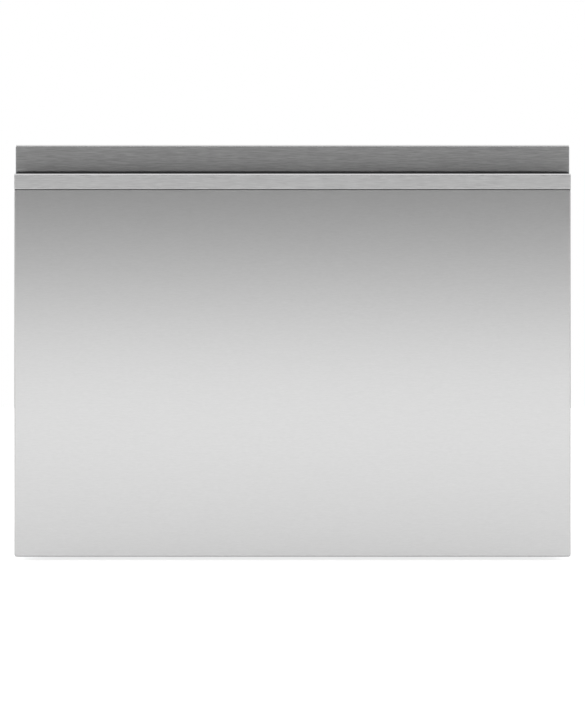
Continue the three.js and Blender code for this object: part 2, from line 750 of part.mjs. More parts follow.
function tub() {
  const ring = (halfX, halfY, corner, z) => ringAt(roundedRectangle(0, tubY, halfX, halfY, corner), z);
  const floorX = tubHalfX - tubDraft;
  const floorY = tubHalfY - tubDraft;
  const dish = sumpRadius + 8;
  const walls = (grow, drop) => [
    ring(dish + grow, dish + grow, dish + grow - 1, tubFloor - floorFall - drop),
    ring(
      floorX - tubFillet + grow,
      floorY - tubFillet + grow,
      tubCorner - tubFillet + grow,
      tubFloor - drop,
    ),
    ring(floorX + grow, floorY + grow, tubCorner + grow, tubFloor + tubFillet - drop),
  ];
  const rimRing = (grow, z) => ring(tubHalfX + grow, tubHalfY + grow, tubCorner + grow, z);
  const outside = loft([...walls(tubWall, tubWall + 1), rimRing(tubWall, tubRim)]);
  const inside = loft([...walls(0, 0), rimRing(0, tubRim + 1)]);
  const edge = tubWall + rimFlange;
  const flange = loft(
    [tubRim - rimThickness, tubRim].map((z) => ring(tubHalfX + edge, tubHalfY + edge, tubCorner + edge, z)),
  );
  const railLevels = [runnerLevel - railHeight / 2, runnerLevel + railHeight / 2];
  const rails = [-1, 1].flatMap((side) => {
    const between = (a, b) => [side * a, side * b].sort((p, q) => p - q);
    const span = [runnerFrom + 4, tubY + tubHalfY - 12];
    const plate = block(between(railFace - railThickness, railFace), span, railLevels);
    const ribs = Array.from({ length: railRibs }, (_, i) => {
      const y = span[0] + 20 + (i * (span[1] - span[0] - 40)) / (railRibs - 1);
      return block(between(tubHalfX + tubWall - 3, railFace - 1), [y - 1.5, y + 1.5], railLevels);
    });
    return [plate, ...ribs];
  });
  const sumpHole = bar(v3(0, tubY, tubFloor - 20), v3(0, tubY, tubFloor + 5), sumpRadius, 32);
  const dispenserHole = block(
    [-dispenserHalf - fit, dispenserHalf + fit],
    [tubFront - 1, wallFace + 6],
    [dispenserLevel - dispenserHalfHeight - fit, dispenserLevel + dispenserHalfHeight + fit],
  );
  return cut(join([outside, flange, ...rails]), [inside, sumpHole, dispenserHole]);
}

const sumpFloor = sumpTop - sumpDepth;
const shaftBore = shaftRadius + fit;

// The sump bowl, bolted under the tub, with three heater clips and the drain spigot at the rear.
function sumpHousing() {
  const profile = [
    [shaftBore, sumpFloor - 3], [80, sumpFloor - 3], [sumpBowlRadius + 3, sumpTop - 4],
    [sumpRadius + 14, sumpTop - 4], [sumpRadius + 14, sumpTop - fit], [sumpBowlRadius, sumpTop - fit],
    [77, sumpFloor], [shaftBore, sumpFloor], [shaftBore, sumpFloor - 3],
  ];
  const clips = [0.5, 2.6, 4.7].map((angle) => {
    const at = v3(heaterRadius * Math.cos(angle), tubY + heaterRadius * Math.sin(angle), 0);
    return block([at.x - 4, at.x + 4], [at.y - 4, at.y + 4], [sumpFloor - 1, sumpFloor + 4.5]);
  });
  const z = sumpFloor + 8;
  const pipe = bar(v3(0, tubY + 74, z), v3(0, tubY + 112, z), spigotRadius, 14);
  const bore = bar(v3(0, tubY + 60, z), v3(0, tubY + 113, z), spigotRadius - 2.5, 12);
  return cut(join([lathe(profile, 0, tubY, 20), ...clips, pipe]), [bore]);
}

function washMotor() {
  const top = sumpFloor - 3 - fit;
  const low = top - motorHeight;
  const profile = [
    [0, low], [motorRadius - 10, low], [motorRadius, low + 4], [motorRadius, top - 3],
    [motorRadius - 3, top - 3],
    [motorRadius - 3, top], [shaftBore, top], [shaftBore, low + 4], [0, low + 4],
  ];
  const plug = block([-12, 12], [tubY - motorRadius - 9, tubY - motorRadius + 6], [low + 3, top - 3]);
  return join([lathe(profile, 0, tubY, 20), plug]);
}

// Shaft, wash impeller with swept blades above and the smaller drain impeller below, turning as one.
function washRotor() {
  const motorLow = sumpFloor - 3 - fit - motorHeight;
  const plate = sumpFloor + 12;
  const profile = [
    [0, motorLow + 4 + fit], [shaftRadius, motorLow + 4 + fit], [shaftRadius, plate - 1],
    [impellerRadius, plate],
    [impellerRadius, plate + 2], [8, plate + 3], [6, plate + 9], [0, plate + 9],
  ];
  const vane = impellerRadius - standpipeRadius - 2;
  const blades = Array.from({ length: 6 }, (_, i) => {
    const leaning = new THREE.BoxGeometry(vane, 1.6, 8).rotateZ(0.5).translate(standpipeRadius + 10, 2, 0);
    return solid(leaning.rotateZ((i * Math.PI) / 3).translate(0, tubY, plate + 5));
  });
  const paddles = [0, 1].map((k) => {
    const paddle = new THREE.BoxGeometry(2 * drainImpellerRadius, 1.8, 6).rotateZ((k * Math.PI) / 2);
    return solid(paddle.translate(0, tubY, sumpFloor + 6));
  });
  return join([lathe(profile, 0, tubY, 16), ...blades, ...paddles]);
}

function heaterElement() {
  const ring = Array.from({ length: 7 }, (_, i) => {
    const angle = (i / 6) * Math.PI * 2;
    return [heaterRadius + heaterTube * Math.cos(angle), sumpFloor + 8 + heaterTube * Math.sin(angle)];
  });
  return lathe(ring, 0, tubY, 24);
}

const filterPlateLevel = tubFloor - floorFall + fit;
const slotCount = 10;
const standpipeTop = armTop - 6;
const armShoulder = armTop - armThickness - 4;

// The filter plate covers the sump; its slots radiate from the standpipe that feeds and carries the
// spray arm.
function filterPlate() {
  const z = filterPlateLevel;
  const profile = [
    [standpipeRadius - 4, z - 12], [standpipeRadius, z - 12], [standpipeRadius, z], [sumpRadius + 5, z],
    [sumpRadius + 5, z + 1.4], [30, z + 1.8], [standpipeRadius + 5, armShoulder - fit],
    [standpipeRadius, armShoulder - fit], [standpipeRadius, standpipeTop],
    [standpipeRadius - 4, standpipeTop],
    [standpipeRadius - 4, z - 12],
  ];
  const slots = Array.from({ length: slotCount }, (_, i) => {
    const turn = ((i + 0.5) / slotCount) * Math.PI * 2;
    const slot = new THREE.BoxGeometry(38, 8, 12).translate(80, 0, z).rotateZ(turn);
    return solid(slot.translate(0, tubY, 0));
  });
  const seatRing = bar(
    v3(filterX, tubY + filterY, z - 3), v3(filterX, tubY + filterY, z + 2.8), filterRadius + 6, 16,
  );
  const seat = bar(
    v3(filterX, tubY + filterY, z - 13), v3(filterX, tubY + filterY, z + 6), filterRadius + fit * 2, 16,
  );
  return cut(cut(lathe(profile, 0, tubY, 20), slots).add(seatRing), [seat]);
}

// The drain filter: a slotted cup that turns a quarter to lock, with a finger bar across its top.
function drainFilter() {
  const x = filterX;
  const y = tubY + filterY;
  const top = filterPlateLevel + 4.8;
  const low = sumpFloor + 13;
  const cup = [
    [0, low], [filterRadius - 4, low], [filterRadius - 1, top - 1.7], [filterRadius + 4, top - 1.7],
    [filterRadius + 4, top], [filterRadius - 3.5, top], [filterRadius - 6, low + 2], [0, low + 2],
  ];
  const handle = block([x - 2, x + 2], [y - filterRadius + 3, y + filterRadius - 3], [top - 5, top]);
  const slots = [0, 1, 2].map((i) => {
    const slot = new THREE.BoxGeometry(80, 2.4, 12).rotateZ((i * Math.PI) / 3 + 0.5);
    return solid(slot.translate(x, y, low + 10));
  });
  return cut(lathe(cup, x, y, 16), slots).add(handle);
}

// The spray arm: two swept blades about a hub, closed on top, with raised nozzles that point up and lean
// back.
function sprayArm() {
  const steps = 6;
  const spine = (s) => v2(armReach * s, 26 * Math.sin(s * Math.PI * 0.9));
  const halfWidth = (s) => 23 - 9 * s;
  const edge = (side) =>
    Array.from({ length: steps + 1 }, (_, i) => {
      const s = i / steps;
      const at = spine(s);
      return v2(at.x, at.y + side * halfWidth(s));
    });
  const blade = [...edge(-1), v2(armReach + 9, spine(1).y), ...edge(1).reverse()];
  const arm = (turn) => {
    const shape = new THREE.Shape(blade);
    const body = new THREE.ExtrudeGeometry(shape, {
      depth: armThickness - 6,
      bevelEnabled: true,
      bevelThickness: 2.5,
      bevelSize: 3,
      bevelOffset: -3,
      bevelSegments: 1,
    });
    return solid(body.rotateZ(turn).translate(0, tubY, armTop - armThickness + 2.5));
  };
  const hub = lathe(
    [
      [0, armShoulder],
      [22, armShoulder],
      [25, armShoulder + 3],
      [25, armTop - 1],
      [18, armTop + 1],
      [0, armTop + 1],
    ],
    0,
    tubY,
    20,
  );
  const nozzles = [0, Math.PI].flatMap((turn) =>
    [0.34, 0.54, 0.74, 0.93].map((s, i) => {
      const at = spine(s).rotateAround(v2(0, 0), turn);
      const offset = (i % 2 ? 1 : -1) * 4;
      return { x: at.x, y: tubY + at.y + offset };
    }),
  );
  const domes = nozzles.map(({ x, y }) => bar(v3(x, y, armTop - 3), v3(x, y, armTop + 0.4), 5, 6));
  const jets = nozzles.map(
    ({ x, y }) => block([x - 3, x + 3], [y - 0.9, y + 0.9], [armTop - 3, armTop + 2]),
  );
  const socket = bar(
    v3(0, tubY, armShoulder - 1), v3(0, tubY, standpipeTop + fit), standpipeRadius + fit * 2, 20,
  );
  return cut(join([arm(0), arm(Math.PI), hub, ...domes]), [socket, ...jets]);
}

const tubBody = tub();
place(tubParts, 'tub', tubBody, tubPlastic);
place(tubParts, 'sump_housing', sumpHousing(), darkPlastic);
place(tubParts, 'wash_motor', washMotor(), elementSteel);
place(tubParts, 'wash_rotor', washRotor(), greyPlastic);
place(tubParts, 'heater_element', heaterElement(), elementSteel);
place(tubParts, 'filter_plate', filterPlate(), greyPlastic);
place(tubParts, 'drain_filter', drainFilter(), darkPlastic);
place(tubParts, 'spray_arm', sprayArm(), greyPlastic);

// The electronics box hangs under the tub floor, near the front left corner, on two feet of its own.
const controllerDepth = [48, 130]; // from the front of the tub
const controllerLeft = 24 - tubHalfX;
const controllerRight = controllerLeft + 110;
const controllerPlug = 14; // level of the plug over the box's bottom
const controllerBottom = 24;

function controllerBox() {
  const [from, to] = controllerDepth.map((y) => tubFront + y);
  const top = tubFloor - 14;
  const body = block([controllerLeft, controllerRight], [from, to], [controllerBottom, top]);
  const pads = [controllerLeft + 8, controllerRight - 24].map((x) =>
    block([x, x + 16], [from + 12, to - 12], [top - 1, top + 8.5]),
  );
  const plug = block(
    [controllerLeft + 26, controllerLeft + 76],
    [from - 4, from + 1],
    [controllerBottom + controllerPlug - 8, controllerBottom + controllerPlug + 4],
  );
  return cut(join([body, ...pads, plug]), [tubBody.translate([0, 0, -fit])]);
}
place(tubParts, 'controller_box', controllerBox(), blackPlastic);

// ---------------------------------------------------------------- dispenser
const dispenser = subassembly();
const flangeBackY = wallFace + draftAt(dispenserLevel - dispenserHeight / 2) + fit;
const flangeFaceY = flangeBackY + dispenserFlange;
const hingeX = -dispenserWidth / 2 + 10;
const hingeY = flangeFaceY + 3.8;
const doorX = hingeX + 4;
const capX = 34;

function dispenserBody() {
  const halfX = dispenserWidth / 2;
  const halfZ = dispenserHeight / 2;
  const outline = roundedRectangle(0, dispenserLevel, halfX, halfZ, 10, 3).map((p) => v3(p.x, 0, p.y));
  const flange = loft([flangeFaceY, flangeBackY].map((y) => outline.map((p) => v3(p.x, y, p.z))));
  const back = flangeBackY - dispenserDepth;
  const body = block(
    [-dispenserHalf, dispenserHalf],
    [back, flangeBackY + 1],
    [dispenserLevel - dispenserHalfHeight, dispenserLevel + dispenserHalfHeight],
  );
  const cup = block(
    [doorX + 4, doorX + doorWidth - 5],
    [back + 2, flangeFaceY + 1],
    [dispenserLevel - doorHeight / 2 + 5, dispenserLevel + doorHeight / 2 - 5],
  );
  const filler = bar(v3(capX, back + 4, dispenserLevel), v3(capX, flangeFaceY + 1, dispenserLevel), 12, 16);
  const knuckles = [-1, 1].map((up) => {
    const from = dispenserLevel + up * (doorHeight / 2 + fit);
    const to = dispenserLevel + up * (halfZ - 2);
    const barrel = bar(
      v3(hingeX, hingeY, Math.min(from, to)), v3(hingeX, hingeY, Math.max(from, to)), 3.4, 10,
    );
    const web = block(
      [hingeX - 2, hingeX + 2],
      [flangeFaceY - 1, hingeY],
      [Math.min(from, to), Math.max(from, to)],
    );
    return barrel.add(web);
  });
  const reach = doorHeight / 2 + 5.5;
  const pinBore = bar(
    v3(hingeX, hingeY, dispenserLevel - reach),
    v3(hingeX, hingeY, dispenserLevel + reach),
    1.7 + fit,
    12,
  );
  return cut(cut(flange.add(body), [cup, filler]).add(join(knuckles)), [pinBore]);
}

// The detergent door turns about an upright pin at its left edge and has a thumb tab at its right.
function detergentDoor() {
  const y = flangeFaceY + fit;
  const half = doorHeight / 2;
  const leaf = block(
    [hingeX, doorX + doorWidth], [y, y + 2.6], [dispenserLevel - half, dispenserLevel + half],
  );
  const barrel = bar(
    v3(hingeX, hingeY, dispenserLevel - half), v3(hingeX, hingeY, dispenserLevel + half), 3.4, 10,
  );
  const pin = bar(
    v3(hingeX, hingeY, dispenserLevel - half - 5),
    v3(hingeX, hingeY, dispenserLevel + half + 5),
    1.7,
    12,
  );
  const tab = block(
    [doorX + doorWidth - 9, doorX + doorWidth - 3],
    [y + 2, y + 6],
    [dispenserLevel - 12, dispenserLevel + 12],
  );
  const rim = [-1, 1].map((up) => {
    const z = dispenserLevel + up * (half - 2);
    return block([doorX + 2, doorX + doorWidth - 2], [y + 2, y + 3.6], [z - 1, z + 1]);
  });
  return join([leaf, barrel, pin, tab, ...rim]);
}

function rinseAidCap() {
  const y = flangeFaceY + fit;
  const along = (from, to, radius, sides) => bar(
    v3(capX, from, dispenserLevel), v3(capX, to, dispenserLevel), radius, sides,
  );
  const grip = block([capX - 13, capX + 13], [y + 2, y + 7], [dispenserLevel - 1.6, dispenserLevel + 1.6]);
  return join([along(y, y + 3, capRadius, 20), along(y - 10, y + 1, 12 - fit * 2, 16), grip]);
}

place(dispenser, 'dispenser_body', dispenserBody(), greyPlastic);
place(dispenser, 'detergent_door', detergentDoor(), tubPlastic);
place(dispenser, 'rinse_aid_cap', rinseAidCap(), darkPlastic);

// ---------------------------------------------------------------- racks
const racks = subassembly();
const stack = wireRadius * 1.65; // crossing wires are welded one on the other
const railPlane = rackWidth / 2 - wireRadius; // the rails of a rack side lie outside its uprights
const uprightPlane = railPlane - stack;
const rackInnerX = uprightPlane - wireRadius - fit; // room left for the rack floor
const rackInnerFront = rackFront + wireRadius * 2 + stack + fit;
const rackInnerRear = 2 * tubY - rackInnerFront;
const rackTop = rackLevel + rackHeight;
const rackMid = rackLevel + rackHeight * 0.45;
const rowX = (row) => rackLeft + tineRowStart + row * tineRowPitch;
const tineBaseLevel = rackLevel + wireRadius + wireRadius + fit;
const rowFrom = tubY - ((tineCount - 1) * tinePitch) / 2;
const clipPlaces = [2.5, tineCount - 3.5].map((k) => rowFrom + k * tinePitch);
const share = (from, to, count) => Array.from(
  { length: count }, (_, i) => from + (i * (to - from)) / (count - 1),
);
const sideUprights = share(rackFront + wireRadius, 2 * tubY - rackFront - wireRadius, 7);
const cupPosts = [sideUprights[1], sideUprights[5]]; // these uprights run on up to the cup shelf
const edgeOn = Math.PI / 6; // turns a wire's edge to the one that crosses it

// Floor of the base rack: crossed wires on four moulded feet, with bearing clips for the tine rows.
function rackFloor() {
  const x = rackInnerX - wireRadius;
  const ends = [rackInnerFront + wireRadius, rackInnerRear - wireRadius];
  const z = rackLevel;
  const low = z - stack;
  const along = share(-x, x, 9).map((at) =>
    bar(v3(at, rackInnerFront, low), v3(at, rackInnerRear, low), wireRadius),
  );
  const acrossPlaces = [...share(ends[0], ends[1], 5), ...clipPlaces];
  const across = acrossPlaces.map((y) => bar(v3(-rackInnerX, y, z), v3(rackInnerX, y, z), wireRadius));
  const legs = [-1, 1].flatMap((sx) =>
    ends.map((y) => {
      const cx = sx * (x - 4);
      const cy = y + (y < tubY ? 5 : -5);
      const shin = (half, level) => ringAt(roundedRectangle(cx, cy, half, half, 2, 1), level);
      return loft([shin(4, tubFloor + fit), shin(5, tubFloor + 3), shin(6, low)]);
    }),
  );
  const rows = Array.from({ length: tineRows }, (_, row) => rowX(row));
  const clips = rows.flatMap((at) =>
    clipPlaces.map((y) => block([at - 5, at + 5], [y - 4, y + 4], [z - 0.4, tineBaseLevel + 5])),
  );
  const bores = rows.map((at) =>
    bar(v3(at, ends[0] - 9, tineBaseLevel), v3(at, ends[1] + 9, tineBaseLevel), wireRadius + 0.45),
  );
  return cut(join([...along, ...across, ...legs, ...clips]), bores);
}

// A side of the base rack: rails and uprights, with two tall posts whose eyes carry the cup shelf.
function rackSide(side) {
  const x = side * uprightPlane;
  const rear = 2 * tubY - rackFront;
  const rails = [rackLevel, rackMid, rackTop].map((z) =>
    bar(v3(side * railPlane, rackFront, z), v3(side * railPlane, rear, z), wireRadius, 6, edgeOn),
  );
  const uprights = sideUprights.map((y) => {
    const top = cupPosts.includes(y) ? cupShelfLevel : rackTop + 1;
    return bar(v3(x, y, rackLevel - 1), v3(x, y, top), wireRadius, 6, edgeOn);
  });
  const eyes = cupPosts.map(
    (y) => block([x - 5, x + 5], [y - 5, y + 5], [cupShelfLevel - 7, cupShelfLevel + 5]),
  );
  const ends = cupPosts.map((y) => v3(x, y + Math.sign(y - tubY) * 9, cupShelfLevel));
  return cut(join([...rails, ...uprights, ...eyes]), [bar(ends[0], ends[1], wireRadius + 0.45)]);
}

function rackEnd(end) {
  const half = railPlane - wireRadius - stack - wireRadius - fit;
  const at = (inset) => tubY + end * (rackDepth / 2 - inset);
  const rails = [rackLevel, rackMid, rackTop].map((z) =>
    bar(v3(-half, at(wireRadius), z), v3(half, at(wireRadius), z), wireRadius, 6, edgeOn),
  );
  const uprights = share(-half + wireRadius, half - wireRadius, 7).map((x) =>
    bar(
      v3(x, at(wireRadius + stack), rackLevel - 1),
      v3(x, at(wireRadius + stack), rackTop + 1),
      wireRadius,
    ),
  );
  return join([...rails, ...uprights]);
}

// A folding row: a base wire that turns in its clips, and a comb of upright tines.
function tineRow(row) {
  const x = rowX(row);
  const span = (tineCount - 1) * tinePitch;
  const base = bar(v3(x, rowFrom - 8, tineBaseLevel), v3(x, rowFrom + span + 8, tineBaseLevel), wireRadius);
  const tines = Array.from({ length: tineCount }, (_, i) => {
    const y = rowFrom + i * tinePitch;
    return bar(v3(x, y, tineBaseLevel), v3(x, y, tineBaseLevel + tineHeight), tineRadius);
  });
  return join([base, ...tines]);
}

// A cup shelf: a hinged grille that stands out level, kept there by two legs against the rack's posts.
function cupShelf(side) {
  const hinge = side * uprightPlane;
  const inner = hinge - side * cupShelfReach;
  const from = tubY - cupShelfLength / 2;
  const to = tubY + cupShelfLength / 2;
  const z = cupShelfLevel;
  const rails = [0, 0.45, 1].map((reach) => {
    const x = hinge - side * cupShelfReach * reach;
    return bar(v3(x, from - 1, z), v3(x, to + 1, z), wireRadius);
  });
  const ribs = share(from + wireRadius, to - wireRadius, 6).map((y) =>
    bar(v3(hinge + side, y, z + stack), v3(inner - side, y, z + stack), wireRadius),
  );
  const contact = hinge - side * (wireRadius * 2 + fit);
  const legs = cupPosts.map((y) => {
    const rib = y < tubY ? from + wireRadius : to - wireRadius;
    return bar(
      v3(contact - side * 20, rib, z + stack), v3(contact, y - Math.sign(y - tubY), z - 34), wireRadius,
    );
  });
  return join([...rails, ...ribs, ...legs]);
}

const basketX = uprightPlane - wireRadius - 0.6 - basketWidth;
const basketY = tubY - basketLength / 2;
const basketFloor = rackLevel + wireRadius + fit;
const basketCells = 3;
const cellLength = (basketLength - basketWall * (basketCells + 1)) / basketCells;

const basketMiddle = basketX + basketWidth / 2;
const handleWalls = [1, 2].map((i) => basketY + basketWall / 2 + i * (cellLength + basketWall));
const handleHalf = 8;
const handleSeat = 12; // depth of the notches that hold the handle's stays

// The cutlery basket: three moulded cells with slotted walls.
function cutleryBasket() {
  const x = [basketX, basketX + basketWidth];
  const top = basketFloor + basketHeight;
  const body = block(x, [basketY, basketY + basketLength], [basketFloor, top]);
  const cells = Array.from({ length: basketCells }, (_, i) => {
    const y = basketY + basketWall + i * (cellLength + basketWall);
    return block(
      [x[0] + basketWall, x[1] - basketWall], [y, y + cellLength], [basketFloor + basketWall, top + 1],
    );
  });
  const slotsPerCell = 3;
  const slots = Array.from({ length: basketCells * slotsPerCell }, (_, i) => {
    const cell = basketY + basketWall + Math.floor(i / slotsPerCell) * (cellLength + basketWall);
    const y = cell + (((i % slotsPerCell) + 0.5) * cellLength) / slotsPerCell;
    return block([x[0] - 1, x[1] + 1], [y - 6, y + 6], [basketFloor + 16, top - 30]);
  });
  const drains = Array.from({ length: basketCells * 2 }, (_, i) => {
    const y = basketY + ((i + 0.5) * basketLength) / (basketCells * 2);
    return block([x[0] + 7, x[1] - 7], [y - 5, y + 5], [basketFloor - 1, basketFloor + basketWall + 1]);
  });
  const notches = handleWalls.map((y) =>
    block(
      [basketMiddle - handleHalf - fit, basketMiddle + handleHalf + fit],
      [y - basketWall, y + basketWall],
      [top - handleSeat, top + 1],
    ),
  );
  return cut(body, [...cells, ...slots, ...drains, ...notches]);
}

// The basket's carrying handle: a grip on two stays, each set into a notch of an inner wall.
function basketHandle() {
  const top = basketFloor + basketHeight;
  const [from, to] = [handleWalls[0] - 5, handleWalls[1] + 5];
  const grip = bar(v3(basketMiddle, from, top + 24), v3(basketMiddle, to, top + 24), 5, 8);
  const stays = handleWalls.map((y) =>
    block(
      [basketMiddle - handleHalf, basketMiddle + handleHalf],
      [y - basketWall / 2, y + basketWall / 2],
      [top - handleSeat + fit, top + 22],
    ),
  );
  return join([grip, ...stays]);
}

place(racks, 'rack_floor', rackFloor(), coatedWire);
place(racks, 'rack_side_left', rackSide(-1), coatedWire);
place(racks, 'rack_side_right', rackSide(1), coatedWire);
place(racks, 'rack_front', rackEnd(-1), coatedWire);
place(racks, 'rack_rear', rackEnd(1), coatedWire);
for (let row = 0; row < tineRows; row += 1) place(racks, `tine_row_${row + 1}`, tineRow(row), coatedWire);
place(racks, 'cup_shelf_left', cupShelf(-1), coatedWire);
place(racks, 'cup_shelf_right', cupShelf(1), coatedWire);
place(racks, 'cutlery_basket', cutleryBasket(), greyPlastic);
place(racks, 'basket_handle', basketHandle(), greyPlastic);

// ---------------------------------------------------------------- lid and its lift
const lidParts = subassembly();
const lidHalfX = tubHalfX + tubWall + rimFlange - 3;
const lidHalfY = tubHalfY + tubWall + rimFlange - 3;
const liftX = sideInner - 3 - actuatorThickness / 2;
const lugLevel = lidBottom + lidHeight - 12;
const rodFoot = lidBottom - 60;

// The lid: a domed tray, hollow below between its ribs, with a lug and a lift rod at each side.
function lid() {
  const outline = (inset) =>
    roundedRectangle(0, tubY, lidHalfX - inset, lidHalfY - inset, Math.max(tubCorner - inset, 6), 3);
  const top = lidBottom + lidHeight;
  const shell = loft([
    ringAt(outline(0), lidBottom), ringAt(outline(0), lidBottom + 6), ringAt(outline(10), top - 4),
    ringAt(outline(26), top),
  ]);
  const hollow = loft([
    ringAt(outline(14), lidBottom - 1), ringAt(outline(14), lidBottom + 5),
    ringAt(outline(30), top - lidWall - 2),
    ringAt(outline(34), top - lidWall),
  ]);
  const ribs = [-120, 0, 120].map((x) =>
    block([x - 1.5, x + 1.5], [tubY - lidHalfY + 20, tubY + lidHalfY - 20], [lidBottom + 8, top - 2]),
  );
  const lifts = [-1, 1].flatMap((side) => {
    const reach = [side * (lidHalfX - 14), side * (liftX + 8)].sort((a, b) => a - b);
    const lug = block(reach, [actuatorY - 16, actuatorY + 16], [lugLevel, lugLevel + 8]);
    const rod = bar(
      v3(side * liftX, actuatorY, rodFoot), v3(side * liftX, actuatorY, lugLevel + 2), liftRodRadius, 12,
    );
    return [lug, rod];
  });
  return join([cut(shell, [hollow]), ...ribs, ...lifts]);
}

// The seal: a soft ring in the lid's rim, with a lip that meets the tub's flange.
function lidSeal() {
  const ring = (halfX, halfY, corner, z) => ringAt(roundedRectangle(0, tubY, halfX, halfY, corner, 4), z);
  const outer = lidHalfX - 1.5;
  const outerY = lidHalfY - 1.5;
  const top = lidBottom - fit;
  const inner = [outer - sealWidth, outerY - sealWidth];
  const body = loft([
    ring(outer - 2, outerY - 2, tubCorner - 4, lidSealBottom),
    ring(outer, outerY, tubCorner - 2, lidSealBottom + 3),
    ring(outer, outerY, tubCorner - 2, top),
  ]);
  const hole = loft([
    ring(inner[0] + 2, inner[1] + 2, tubCorner - 8, lidSealBottom - 1),
    ring(inner[0], inner[1], tubCorner - 10, top + 1),
  ]);
  return cut(body, [hole]);
}

// A lift actuator: gearmotor housing on the side panel, bored for the lid's rod.
function lidActuator(side) {
  const between = (a, b) => [side * a, side * b].sort((p, q) => p - q);
  const half = actuatorThickness / 2;
  const top = lugLevel - lidTravel - 4;
  const low = top - actuatorHeight;
  const housing = block(
    between(liftX - half, liftX + half),
    [actuatorY - 20, actuatorY + actuatorLength - 20],
    [low + 22, top],
  );
  const guide = block(between(liftX - half, liftX + half), [actuatorY - 12, actuatorY + 12], [low, top - 4]);
  const motor = bar(
    v3(side * liftX, actuatorY + 34, low + 44),
    v3(side * liftX, actuatorY + actuatorLength - 2, low + 44),
    half - 0.5,
    14,
  );
  const bracket = block(
    between(liftX + half - 1, sideInner - fit),
    [actuatorY - 30, actuatorY + actuatorLength - 10],
    [low + 30, top - 10],
  );
  const bore = bar(
    v3(side * liftX, actuatorY, low + 2),
    v3(side * liftX, actuatorY, top + 1),
    liftRodRadius + fit,
    16,
  );
  return cut(join([housing, guide, motor, bracket]), [bore]);
}

place(lidParts, 'lid', lid(), tubPlastic);
place(lidParts, 'lid_seal', lidSeal(), sealRubber);
place(lidParts, 'lid_actuator_left', lidActuator(-1), darkPlastic);
place(lidParts, 'lid_actuator_right', lidActuator(1), darkPlastic);

// ---------------------------------------------------------------- hoses and wiring
const services = subassembly();

// A hose hangs in a high loop behind the tub, so that it can follow the drawer out.
function loop(xRise, xFall, y, top) {
  const middle = (xRise + xFall) / 2;
  const half = (xFall - xRise) / 2;
  const drop = Math.abs(half);
  return [
    v3(xRise, y, top - 2.2 * drop), v3(xRise + 0.1 * half, y, top - drop),
    v3(middle - 0.66 * half, y, top - 0.28 * drop), v3(middle, y, top),
    v3(middle + 0.66 * half, y, top - 0.28 * drop), v3(xFall - 0.1 * half, y, top - drop),
    v3(xFall, y, top - 2.2 * drop),
  ];
}

// The drain hose leaves the sump, rises behind the tub in the highest loop and comes down to its outlet.
function drainHose() {
  const z = sumpFloor + spigotRadius - 1;
  const start = tubY + sumpRadius + 4 + fit;
  const y = rearSpace;
  const { x } = drainPort;
  return hose(
    [
      v3(0, start, z), v3(0, start + 20, z), v3(0, start + 45, z), v3(6, y - 22, z + 14),
      v3(18, y - 2, z + 62),
      ...loop(x / 6, x - 2, y, hoseLoopTop), v3(x, y, (drainSpout + hoseLoopTop) / 3),
      v3(x, y, drainSpout + 30), v3(x, y, drainSpout + fit),
    ],
    drainHoseRadius,
  );
}

// The fill hose runs from the inlet valve up behind the tub and down to the sump's left.
function fillHose() {
  const { x } = valvePort;
  const y = rearSpace;
  const z = sumpFloor + 12;
  const inlet = -sumpRadius + 20;
  return hose(
    [
      v3(x, valveSpout.y, valveSpout.z + fit), v3(x, valveSpout.y, valveSpout.z + 20),
      v3(x - 3, y - 6, valveSpout.z + 70), ...loop(x, x + 92, y, hoseLoopTop - 33),
      v3(x + 94, y - 3, valveSpout.z + 40), v3(x + 98, y - 16, valveSpout.z - 12), v3(inlet - 2, y - 54, z),
      v3(inlet, tubY + sumpRadius + 16, z), v3(inlet, tubY + sumpRadius - 24, z),
    ],
    fillHoseRadius,
  );
}

// The wiring loom runs from the power inlet to the controller under the tub.
function wiringLoom() {
  const start = rearPanelY - 30 - fit;
  const { x, z } = powerPort;
  const y = rearSpace - drainHoseRadius - fillHoseRadius;
  const end = tubFront + controllerDepth[1] + fit;
  const across = controllerLeft + 56;
  const low = chassisBottom + 14;
  const plug = controllerBottom + 12;
  return hose(
    [
      v3(x, start, z), v3(x, start - 6, z), v3(x, start - 12, z), v3(x - 6, y - 2, z + 40),
      ...loop(x - 8, x + 32, y, hoseLoopTop - 130), v3(x + 30, y - 6, z + 38), v3(x + 18, y - 28, z - 4),
      v3(x - 44, y - 72, low), v3(across + 6, tubY + sumpRadius, low + 2), v3(across, tubY + 20, low + 6),
      v3(across, end + 30, plug), v3(across, end, plug),
    ],
    loomRadius,
  );
}

place(services, 'drain_hose', drainHose(), hoseRubber);
place(services, 'fill_hose', fillHose(), hoseRubber);
place(services, 'wiring_loom', wiringLoom(), blackPlastic);

export default product;
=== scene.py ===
# %% [markdown]
# A dishwasher drawer in brushed stainless steel, seen closed and from the front, as in a shop's picture.
# The solids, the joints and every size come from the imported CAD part. This notebook gives them the finish of
# the real thing: rounded edges, round wires, ribbed hoses, screws, brushed steel, and a plain white studio.

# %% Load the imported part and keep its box
import json

